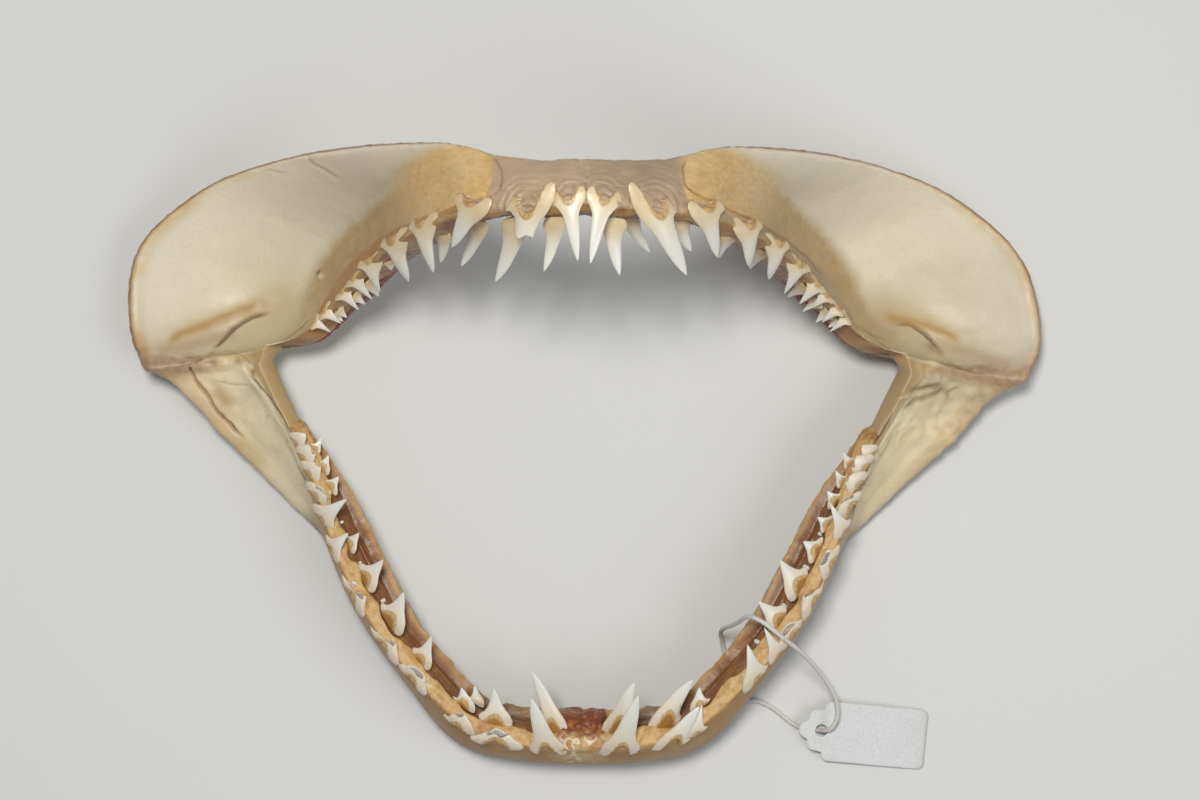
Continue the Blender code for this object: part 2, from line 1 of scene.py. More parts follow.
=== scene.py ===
"""Looks of a shortfin mako's jaw, cleaned, dried and spread open, lying on its back.

The jaw's bars are lofted again from the same cross-sections as the solids, much finer, then
creased, hollowed and painted by formulas. Sizes are in millimetres until to_metres(). Marks
that the photograph shows on the upper surfaces are placed by its pixels, 1200 wide and 800
high, as seen through this script's own camera.
"""

import math
from collections import namedtuple
from itertools import product

import bpy
import numpy as np
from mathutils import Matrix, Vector

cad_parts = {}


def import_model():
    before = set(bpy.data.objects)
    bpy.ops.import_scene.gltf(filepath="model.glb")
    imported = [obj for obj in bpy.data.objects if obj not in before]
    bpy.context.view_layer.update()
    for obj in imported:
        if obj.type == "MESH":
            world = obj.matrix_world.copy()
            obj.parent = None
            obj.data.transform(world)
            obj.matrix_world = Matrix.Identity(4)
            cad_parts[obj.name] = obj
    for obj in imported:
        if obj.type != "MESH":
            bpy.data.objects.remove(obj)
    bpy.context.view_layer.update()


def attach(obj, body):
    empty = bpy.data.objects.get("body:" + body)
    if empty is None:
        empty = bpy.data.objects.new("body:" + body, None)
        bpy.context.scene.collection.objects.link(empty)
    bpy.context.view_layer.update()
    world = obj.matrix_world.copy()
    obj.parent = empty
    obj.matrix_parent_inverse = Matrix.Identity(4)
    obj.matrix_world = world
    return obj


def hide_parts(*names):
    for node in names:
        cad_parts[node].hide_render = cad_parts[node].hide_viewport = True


# ---------------------------------------------------------------- the jaw's sizes, as in the solids

MM = 0.001
MIDDLE = (-0.7, -2.5)       # X and Y of the middle of the whole piece in the tables below

# One row per cross-section, from the middle of the jaw to the hinge: tooth edge, far edge, then
# thickness at the tooth edge and at the far edge, hollow of the outer face, depth of the gum on
# the inside and how far it swells past the cartilage.
Section = namedtuple("Section", "edge far edge_thick far_thick hollow gum_depth gum_swell")

UPPER_SECTIONS = (
    Section((0.0, 89.6, 137.0), (0.0, 102.8, 129.0), 12.0, 9.0, -1.0, 9.0, 7.0),
    Section((11.8, 88.2, 135.5), (14.6, 102.8, 126.0), 12.0, 9.0, -1.5, 9.0, 7.0),
    Section((24.9, 87.2, 130.0), (28.8, 104.4, 120.0), 12.0, 8.0, -2.0, 9.0, 6.5),
    Section((39.0, 86.0, 121.5), (43.0, 108.4, 110.0), 12.0, 6.5, -1.0, 9.0, 5.5),
    Section((53.0, 82.8, 108.5), (59.0, 110.6, 94.0), 11.0, 5.5, 4.0, 9.0, 4.5),
    Section((66.0, 78.2, 92.0), (85.0, 111.4, 66.0), 10.5, 5.0, 11.0, 8.0, 4.0),
    Section((77.5, 71.0, 73.0), (116.0, 108.6, 38.0), 10.0, 4.5, 19.0, 8.0, 4.0),
    Section((86.5, 63.0, 57.0), (145.0, 98.5, 22.0), 10.0, 4.5, 26.0, 7.0, 4.0),
    Section((94.5, 54.5, 45.0), (168.5, 77.5, 17.0), 10.0, 4.5, 28.5, 6.0, 3.5),
    Section((104.0, 46.0, 36.0), (173.0, 49.5, 18.0), 11.0, 5.0, 22.5, 4.0, 2.0),
    Section((118.5, 41.0, 31.0), (165.5, 31.5, 24.0), 12.0, 6.0, 6.0, 3.0, 2.0),
)

LOWER_SECTIONS = (
    Section((0.0, -107.5, 36.0), (0.0, -118.0, 2.2), 12.0, 10.0, -2.5, 14.0, 8.5),
    Section((20.0, -107.0, 36.0), (20.5, -117.0, 2.4), 12.0, 10.0, -2.5, 14.0, 8.5),
    Section((37.0, -103.0, 36.0), (39.5, -114.0, 3.4), 12.0, 9.0, -2.5, 14.0, 8.5),
    Section((48.5, -95.5, 36.0), (53.0, -105.5, 4.8), 11.5, 9.0, -2.5, 13.0, 8.5),
    Section((59.5, -85.0, 36.0), (64.5, -91.0, 5.6), 11.0, 8.0, -2.0, 13.0, 9.0),
    Section((71.5, -71.5, 36.0), (75.5, -76.0, 5.0), 10.5, 8.0, -2.0, 12.0, 9.0),
    Section((82.5, -55.5, 36.0), (87.0, -58.5, 3.0), 10.0, 7.5, -2.0, 12.0, 10.5),
    Section((89.5, -42.0, 36.0), (94.0, -45.0, 1.8), 9.5, 7.0, -1.5, 12.0, 10.5),
    Section((95.0, -29.0, 35.0), (100.0, -32.5, 3.0), 9.0, 6.0, -1.0, 11.0, 10.0),
    Section((99.0, -16.0, 35.0), (107.5, -24.5, 6.0), 8.5, 5.0, -0.5, 9.0, 8.5),
    Section((104.0, -2.0, 34.0), (122.0, -10.0, 9.0), 8.5, 4.5, 1.0, 6.0, 6.0),
    Section((111.0, 13.0, 33.0), (138.5, 6.5, 13.5), 9.0, 4.5, 2.0, 4.0, 3.0),
    Section((120.5, 33.5, 31.0), (155.0, 25.5, 17.5), 10.0, 5.5, 2.0, 3.0, 3.0),
)

CREST = 136.9               # height in mm above which the front gum is pressed flatter
CREST_PRESSED = 0.45
WING_LEAN = 3.0             # mm that both wings lean towards -X
WING_LEAN_X = (70.0, 140.0)     # mm from the middle over which they begin to
WING_LEAN_Y = (40.0, 85.0)      # and mm along Y
SYMPHYSIS_END = 0.16        # sections on each side of the middle that the soft joint takes
SYMPHYSIS_LAP = 0.01
BARE_FROM = 0.6             # sections before the gum's end between which the edge turns bare
BARE_TO = 0.1
UPPER_GUM_END = 9.4         # section at which the gum ends
LOWER_GUM_END = 10.6
GUM_RISE = 3.0              # mm that the solids' gum stands over the tooth edge
GUM_FRONT = 4.0             # mm that it reaches down the outer face
HOLLOW_SKEW = 0.8           # under 1, the outer face is deepest nearer its tooth edge
RIDGE_SHARE = 0.55          # share across at which the bar has thinned to its far edge's thickness
LIP = 0.03                  # share across at which the gum's lip is
RIM = 0.97                  # share of the outer face at which the far edge starts to round
ROOT_COVER = 2.4            # mm behind the outer face that a tooth stands at least
DEEPEST_GUM = 0.5           # the gum's inner foot is at most this share of the way to the far edge
MEASURED = 1201             # places at which a bar's length is measured
STEP = 0.02                 # sections ahead and behind at which its direction is measured
NUDGE = 0.01                # and shares across at which its outer face's slope is

# A tooth: distance along the tooth edge from the middle of the jaw, row (1 outermost), length
# from root to tip, width of the root, lean along the edge in degrees (towards the hinge).
Tooth = namedtuple("Tooth", "along row length width lean")
# A row of teeth: inset from the outer face, height over the tooth edge, tip inwards in degrees.
Row = namedtuple("Row", "inset height tilt")

UPPER_ROWS = {1: Row(2.6, 1.0, 32.0), 2: Row(9.5, 1.5, 50.0), 3: Row(14.0, -2.0, 72.0)}
LOWER_ROWS = {1: Row(2.6, 1.0, 34.0), 2: Row(6.8, 1.2, 52.0), 3: Row(11.5, -2.0, 70.0)}


def tooth_table(**sides):
    """Teeth of a jaw's right and left side, from their plain rows of numbers."""
    return {side: [Tooth(*row) for row in rows] for side, rows in sides.items()}


UPPER_TEETH = tooth_table(
    right=(
        (5.9, 1, 19.0, 9.0, 2), (12.8, 2, 19.5, 9.0, 32), (21.2, 1, 8.5, 14.0, 48),
        (29.7, 2, 29.0, 12.0, 48), (42.5, 1, 18.5, 11.5, 72), (47.6, 2, 26.0, 9.0, 64),
        (70.2, 1, 17.0, 10.5, 48), (68.5, 2, 18.0, 8.0, 66), (91.7, 1, 16.0, 11.0, 62),
        (107.5, 2, 5.0, 8.0, 72), (112.6, 1, 12.0, 8.5, 72), (126.0, 2, 8.0, 9.0, 40),
        (126.0, 1, 7.5, 6.5, 48), (135.1, 2, 5.0, 6.5, 24), (135.1, 1, 6.0, 5.5, 48),
        (146.2, 2, 4.0, 5.5, 38), (148.1, 1, 4.5, 5.0, 48), (148.7, 2, 4.0, 4.5, 40),
        (154.4, 1, 4.0, 4.0, 48),
    ),
    left=(
        (5.9, 1, 20.0, 9.0, 0), (11.8, 2, 20.0, 10.0, 26), (18.9, 3, 20.5, 8.0, 48),
        (24.8, 1, 26.5, 15.0, 56), (40.4, 2, 15.5, 9.0, 60), (45.4, 1, 18.0, 11.0, 62),
        (68.5, 2, 10.0, 9.0, 38), (68.5, 1, 16.0, 10.0, 68), (91.7, 2, 10.0, 9.0, 46),
        (89.8, 1, 14.5, 9.5, 72), (109.3, 1, 11.5, 9.0, 62), (125.3, 2, 7.5, 9.0, 18),
        (125.3, 1, 7.5, 7.5, 48), (134.5, 2, 7.0, 6.0, 22), (132.4, 1, 4.0, 6.0, 48),
        (142.3, 2, 6.5, 6.0, 34), (141.7, 1, 5.0, 5.0, 48), (148.7, 2, 4.0, 5.0, 36),
        (148.1, 1, 5.5, 4.0, 48),
    ),
)
LOWER_TEETH = tooth_table(
    right=(
        (169.1, 1, 4.5, 6.0, -16), (163.5, 1, 4.5, 7.0, 12), (162.9, 2, 4.5, 5.0, 36),
        (157.3, 1, 4.5, 8.0, 26), (155.5, 2, 4.5, 7.0, 40), (148.4, 1, 4.5, 9.0, 2),
        (147.9, 2, 4.5, 8.0, 18), (139.6, 1, 12.5, 12.0, 4), (127.6, 1, 8.5, 11.0, 20),
        (126.4, 2, 6.0, 8.0, 28), (108.9, 1, 6.0, 13.0, 20), (112.0, 2, 11.0, 12.0, 20),
        (87.3, 1, 4.5, 13.0, 26), (92.9, 2, 13.0, 14.0, 30), (71.0, 1, 6.0, 12.0, 10),
        (73.9, 2, 10.5, 10.0, 26), (47.2, 1, 5.5, 10.0, 45), (49.3, 2, 6.5, 10.0, 50),
        (46.1, 3, 5.5, 7.0, 50), (31.3, 1, 8.0, 15.0, 8), (33.3, 2, 13.5, 13.0, 16),
        (12.6, 1, 23.0, 13.0, 16), (9.4, 2, 25.5, 10.0, 22),
    ),
    left=(
        (167.2, 1, 4.5, 6.0, -14), (162.2, 1, 4.5, 8.0, -10), (159.7, 2, 4.5, 6.0, 32),
        (155.5, 1, 4.5, 8.0, -2), (152.5, 2, 4.5, 6.0, 26), (147.3, 1, 7.0, 10.0, 18),
        (145.0, 2, 4.5, 8.0, 16), (137.5, 1, 11.5, 10.0, 30), (136.4, 2, 4.5, 8.0, 8),
        (124.7, 1, 4.5, 11.0, 8), (126.4, 2, 6.5, 11.0, 10), (109.6, 1, 5.0, 12.0, 45),
        (111.4, 2, 13.5, 14.0, 24), (94.5, 1, 4.5, 11.0, 12), (96.1, 2, 11.5, 11.0, 8),
        (85.7, 1, 11.0, 9.0, 24), (73.9, 1, 13.0, 13.0, 32), (44.0, 1, 9.0, 9.0, 45),
        (50.5, 2, 7.0, 9.0, 36), (34.7, 1, 16.0, 13.0, 50), (31.3, 2, 21.5, 12.0, 42),
        (15.0, 1, 25.0, 14.0, 16), (13.4, 2, 21.0, 12.0, 20),
    ),
)

SIDES = {"right": -1.0, "left": 1.0}

# ---------------------------------------------------------------- camera

CAMERA_HEIGHT = 1.0         # metres over the floor, looking straight down
CAMERA_PLACE = (0.0062, 0.0245)
CAMERA_ROLL = math.radians(0.75)
LENS = 78.0
SENSOR = 36.0
PHOTO_SIZE = (1200.0, 800.0)


def add_camera():
    """The photograph's camera, over the piece."""
    data = bpy.data.cameras.new("camera")
    data.lens = LENS
    data.sensor_width = SENSOR
    camera = bpy.data.objects.new("camera", data)
    camera.location = (*CAMERA_PLACE, CAMERA_HEIGHT)
    camera.rotation_euler = (0.0, 0.0, CAMERA_ROLL)
    bpy.context.scene.collection.objects.link(camera)
    bpy.context.scene.camera = camera
    bpy.context.scene.view_settings.view_transform = "Standard"


def in_photo(points):
    """Where points, in metres, are in the photograph's pixels."""
    across = points[..., 0] - CAMERA_PLACE[0]
    up = points[..., 1] - CAMERA_PLACE[1]
    scale = LENS / SENSOR * PHOTO_SIZE[0] / (CAMERA_HEIGHT - points[..., 2])
    turned = across * math.cos(CAMERA_ROLL) + up * math.sin(CAMERA_ROLL)
    raised = up * math.cos(CAMERA_ROLL) - across * math.sin(CAMERA_ROLL)
    return np.stack((PHOTO_SIZE[0] / 2 + turned * scale, PHOTO_SIZE[1] / 2 - raised * scale), -1)


# ---------------------------------------------------------------- numbers


def catmull_rom(points, part):
    """Smooth curve through four neighbouring points, a part of the way between the middle two."""
    before, start, end, after = points
    return 0.5 * (2 * start + (end - before) * part
                  + (2 * before - 5 * start + 4 * end - after) * part ** 2
                  + (3 * start - before - 3 * end + after) * part ** 3)


def smooth_rows(rows, at):
    """Rows of a table at fractional indices, with smooth curves between them."""
    rows = np.asarray(rows, float)
    last = len(rows) - 1
    at = np.clip(np.asarray(at, float), 0.0, last)
    low = np.minimum(at.astype(int), last - 1)
    padded = np.vstack((2 * rows[0] - rows[1], rows, 2 * rows[-1] - rows[-2]))
    return catmull_rom([padded[low + shift] for shift in range(4)], (at - low)[..., None])


def distances(line):
    """Distance along a line of points from its start to each of them."""
    return np.concatenate(([0.0], np.cumsum(np.linalg.norm(np.diff(line, axis=0), axis=1))))


def points_at(line, marks, at):
    """Points of a line at places between its marks."""
    return np.stack([np.interp(at, marks, line[:, axis]) for axis in range(line.shape[1])], -1)


def smooth_step(value):
    """The value, held between 0 and 1, with both ends eased."""
    value = np.clip(value, 0.0, 1.0)
    return value * value * (3.0 - 2.0 * value)


def ramp(value, start, end):
    """0 before start, 1 after end, smooth between them."""
    return smooth_step((value - start) / (end - start))


def bump(value, middle, width):
    """1 at the middle, falling smoothly to near 0 a width away."""
    return np.exp(-((value - middle) / (0.6 * width)) ** 2)


# Turns the noise's grid away from the axes of the piece.
NOISE_TURN = np.array(((0.80, 0.36, -0.48), (-0.60, 0.48, -0.64), (0.0, 0.80, 0.60)))
NOISE_PRIMES = (73856093, 19349663, 83492791)   # these scramble a cell's place to its value
NOISE_MIXERS = ((13, 1274126177), (15, 2246822519))
SEED_STEP = 7.31            # how far apart, in lumps, two seeds' noises are


def value_noise(points, size, seed=0.0):
    """Smooth noise from -1 to 1 at points in mm, with lumps about `size` mm wide."""
    place = points @ NOISE_TURN / size + seed * SEED_STEP
    low = np.floor(place).astype(np.int64)
    part = smooth_step(place - low)
    total = np.zeros(points.shape[:-1])
    for corner in product((0, 1), repeat=3):
        cell = low + np.array(corner)
        key = np.bitwise_xor.reduce(cell * np.array(NOISE_PRIMES), axis=-1)
        for shift, factor in NOISE_MIXERS:
            key = (key ^ (key >> shift)) * factor & 0xFFFFFFFF
        weight = np.ones(points.shape[:-1])
        for axis in range(3):
            weight *= part[..., axis] if corner[axis] else 1.0 - part[..., axis]
        total += weight * (key / 0x7FFFFFFF - 1.0)
    return total


def rough_noise(points, size, seed=0.0, octaves=3):
    """Several sizes of smooth noise, each half as wide and half as strong as the one before."""
    total = np.zeros(points.shape[:-1])
    for octave in range(octaves):
        total += value_noise(points, size / 2 ** octave, seed + octave) / 2 ** octave
    return total / (2.0 - 0.5 ** (octaves - 1))


def stretched_noise(points, scale, size, seed, noise=value_noise):
    """Noise whose lumps are longer along the axes with the smaller scales."""
    return noise(points * np.array(scale), size, seed)


def full_turn(count):
    """Angles of the columns round a ring."""
    return np.linspace(0.0, 2 * np.pi, count, endpoint=False)[None, :]


def unit(vectors):
    """The vectors, made 1 long."""
    return vectors / np.maximum(np.linalg.norm(vectors, axis=-1, keepdims=True), 1e-9)


def near_line(pixels, line):
    """Distance in pixels from each place to a broken line."""
    nearest = np.full(pixels.shape[:-1], 1e9)
    for start, end in zip(line, line[1:]):
        start = np.array(start, float)
        way = np.array(end, float) - start
        share = np.clip(((pixels - start) @ way) / (way @ way), 0.0, 1.0)
        nearest = np.minimum(nearest, np.linalg.norm(pixels - start - share[..., None] * way,
                                                     axis=-1))
    return nearest


# ---------------------------------------------------------------- the bars


def to_metres(points, side):
    """Points of the +X side, in mm, as they lie on their own side, in metres."""
    lean = WING_LEAN * ramp(points[..., 0], *WING_LEAN_X) * ramp(points[..., 1], *WING_LEAN_Y)
    x = points[..., 0] * side - lean - MIDDLE[0]
    y = points[..., 1] - MIDDLE[1]
    z = np.maximum(points[..., 2], 0.0)
    z = z - CREST_PRESSED * np.maximum(z - CREST, 0.0)
    return np.stack((x, y, z), -1) * MM


def mirrored(points, side):
    """Points of the +X side on their own side, without the lean of the wings."""
    return points * np.array((side, 1.0, 1.0))


class Bar:
    """One jaw's bar of cartilage, on the +X side, with its cross-sections."""

    def __init__(self, sections, rows, gum_end, outward, folded):
        self.edges = self.past_middle([row.edge for row in sections])
        self.fars = self.past_middle([row.far for row in sections])
        self.sizes = [row[2:] for row in sections]
        self.rows = rows
        self.gum_end = gum_end
        self.outward = outward
        self.folded = folded
        self.last = float(len(sections) - 1)
        self.measure()

    @staticmethod
    def past_middle(points):
        """The points, with one more past the middle of the jaw, where it mirrors the second."""
        x, y, z = points[1]
        return np.array([(-x, y, z)] + list(points), float)

    def measure(self):
        """Distance along the tooth edge from the middle, at many sections."""
        self.marks = np.linspace(0.0, self.last, MEASURED)
        self.lengths = distances(smooth_rows(self.edges, self.marks + 1.0))

    def section_at(self, length):
        """The section, as a fraction, at a distance along the tooth edge."""
        return np.interp(length, self.lengths, self.marks)

    def size(self, name, at):
        """One of the sections' sizes, between them too."""
        return smooth_rows(self.sizes, np.abs(at))[..., Section._fields.index(name) - 2]

    def line(self, points, at):
        """Points of an edge, also past the middle of the jaw."""
        place = smooth_rows(points, np.abs(at) + 1.0)
        place[..., 0] *= np.where(at < 0.0, -1.0, 1.0)
        return place

    def frame(self, at):
        """Tooth edge, height of the bar, and the upward, inward and lengthwise directions."""
        at = np.asarray(at, float)
        edge = self.line(self.edges, at)
        far = self.line(self.fars, at)
        ahead = np.minimum(at + STEP, self.last)
        behind = ahead - 2 * STEP
        along = unit(self.line(self.edges, ahead) + self.line(self.fars, ahead)
                     - self.line(self.edges, behind) - self.line(self.fars, behind))
        upward = unit(edge - far)
        inward = self.outward * unit(np.cross(upward, along))
        return edge, np.linalg.norm(edge - far, axis=-1), upward, inward, along

    def place(self, at, inset, height):
        """Points inwards and upwards of the tooth edge."""
        edge, _, upward, inward, _ = self.frame(at)
        return edge + inward * inset[..., None] + upward * height[..., None]

    def outer_face(self, at, part):
        """Inset and height of the bar's outer face at a share of the way across."""
        length = self.frame(at)[1]
        bulge = self.size("hollow", at) * np.sin(np.pi * np.clip(part, 0.0, 1.0) ** HOLLOW_SKEW)
        return bulge, -length * part

    def inner_face(self, at, part):
        """Inset and height of the bar's inner face at a share of the way across."""
        ahead = self.outer_face(at, np.minimum(part + NUDGE, 1.0))
        behind = self.outer_face(at, np.maximum(part - NUDGE, 0.0))
        slope_x, slope_y = ahead[0] - behind[0], ahead[1] - behind[1]
        size = np.hypot(slope_x, slope_y)
        thick = self.size("edge_thick", at)
        thick = thick + (self.size("far_thick", at) - thick) * ramp(part, 0.0, RIDGE_SHARE)
        inset, height = self.outer_face(at, part)
        return inset - slope_y / size * thick, height + slope_x / size * thick

    def bare(self, at):
        """1 where the bar's edge has no gum over it, beyond the last teeth."""
        return ramp(at, self.gum_end - BARE_FROM, self.gum_end - BARE_TO)

    def gum_foot(self, at):
        """Where the gum ends on the inner face: inset and height, and the share across."""
        part = np.minimum(self.size("gum_depth", at) / self.frame(at)[1], DEEPEST_GUM)
        return self.inner_face(at, part), part

    def root_place(self, at, row):
        """Where a tooth of a row stands on the tooth edge."""
        cover = self.outer_face(at, np.full_like(at, LIP))[0] + ROOT_COVER
        height = np.full_like(cover, self.rows[row].height)
        return self.place(at, np.maximum(self.rows[row].inset, cover), height)


def add_mesh(name, points, caps=True):
    """Grid of points in metres, a ring in each row, as a smooth mesh; caps close its ends."""
    rows, columns = points.shape[:2]
    data = bpy.data.meshes.new(name)
    left = np.arange(rows * columns).reshape(rows, columns)
    right = np.roll(left, -1, axis=1)
    faces = np.stack((left[:-1], right[:-1], right[1:], left[1:]), -1).reshape(-1, 4).tolist()
    if caps:
        faces += [left[0].tolist()[::-1], left[-1].tolist()]
    data.from_pydata(points.reshape(-1, 3).tolist(), [], faces)
    data.shade_smooth()
    if caps:
        for face in data.polygons[-2:]:
            face.use_smooth = False
    item = bpy.data.objects.new(name, data)
    bpy.context.scene.collection.objects.link(item)
    return item


def paint(item, colour, rough):
    """Stores each point's colour and roughness for the materials."""
    data = item.data
    count = len(data.vertices)
    rgba = np.ones((count, 4), np.float32)
    rgba[:, :3] = np.clip(np.broadcast_to(colour, (*np.shape(rough), 3)), 0.0, 1.0).reshape(-1, 3)
    layer = data.attributes.new("paint", "FLOAT_COLOR", "POINT")
    layer.data.foreach_set("color", rgba.ravel())
    layer = data.attributes.new("rough", "FLOAT", "POINT")
    layer.data.foreach_set("value", np.asarray(rough, np.float32).ravel())


def join(name, items):
    """Joins objects into the first of them and names it."""
    bpy.ops.object.select_all(action="DESELECT")
    for item in items:
        item.select_set(True)
    bpy.context.view_layer.objects.active = items[0]
    bpy.ops.object.join()
    items[0].name = name
    return items[0]


def outward_normals(points):
    """Unit normals of a grid of rings, away from the inside of the rings."""
    down = np.gradient(points, axis=0)
    across = np.roll(points, -1, axis=1) - np.roll(points, 1, axis=1)
    normals = np.cross(across, down)
    away = points - points.mean(axis=1, keepdims=True)
    return unit(normals if np.sum(normals * away) > 0.0 else -normals)


# ---------------------------------------------------------------- colours (linear)

CREAM = np.array((0.72, 0.65, 0.50))
COOL_CREAM = np.array((0.61, 0.565, 0.455))
WARM_CREAM = np.array((0.64, 0.52, 0.31))
TAN = np.array((0.34, 0.22, 0.095))
YELLOW_TAN = np.array((0.48, 0.32, 0.13))
SHADED_CREAM = np.array((0.50, 0.43, 0.30))
FOLD_TAN = np.array((0.37, 0.22, 0.05))
BULGE_ORANGE = np.array((0.50, 0.29, 0.10))
HINGE_PINK = np.array((0.36, 0.23, 0.13))
GUM_PINK = np.array((0.43, 0.31, 0.20))
GUM_GREY = np.array((0.33, 0.24, 0.16))
ORANGE = np.array((0.36, 0.16, 0.045))
RIM_BROWN = np.array((0.27, 0.115, 0.04))
DARK = np.array((0.075, 0.045, 0.025))
AMBER = np.array((0.20, 0.085, 0.028))
RED_BROWN = np.array((0.16, 0.04, 0.018))
BAND = np.array((0.31, 0.145, 0.022))
ENAMEL = np.array((0.72, 0.71, 0.64))
ENAMEL_WARM = np.array((0.70, 0.62, 0.46))
ROOT = np.array((0.60, 0.44, 0.23))
ROOT_PINK = np.array((0.60, 0.49, 0.40))
FRINGE = np.array((0.55, 0.34, 0.12))
PULP = np.array((0.36, 0.31, 0.29))
COTTON = np.array((0.60, 0.58, 0.54))
# painted shade in the string's grooves
COTTON_GROOVE_SHADE = np.array((0.36, 0.34, 0.31))
COTTON_KNOT = np.array((0.58, 0.56, 0.52))
COTTON_ROUGH = 0.85
CARD_WHITE = np.array((0.60, 0.61, 0.60))
CARD_WORN = np.array((0.48, 0.47, 0.43))
CARD_ROUGH = 0.72


def mix(first, second, share):
    """Blend of two colours, or fields of colour, by a field of shares."""
    share = np.asarray(share)[..., None]
    return first * (1.0 - share) + second * share


def layered(colour, *layers):
    """A colour with others laid over it, each by its own field of shares."""
    for over, share in layers:
        colour = mix(colour, over, share)
    return colour


def shaded(colour, factor):
    """A field of colour times a field of factors."""
    return colour * factor[..., None]


# A mark on the upper surfaces: a broken line in the photograph's pixels, its half width in
# pixels, depth in mm (negative stands up), colour, and strength of the colour.
Mark = namedtuple("Mark", "line width depth colour strength")

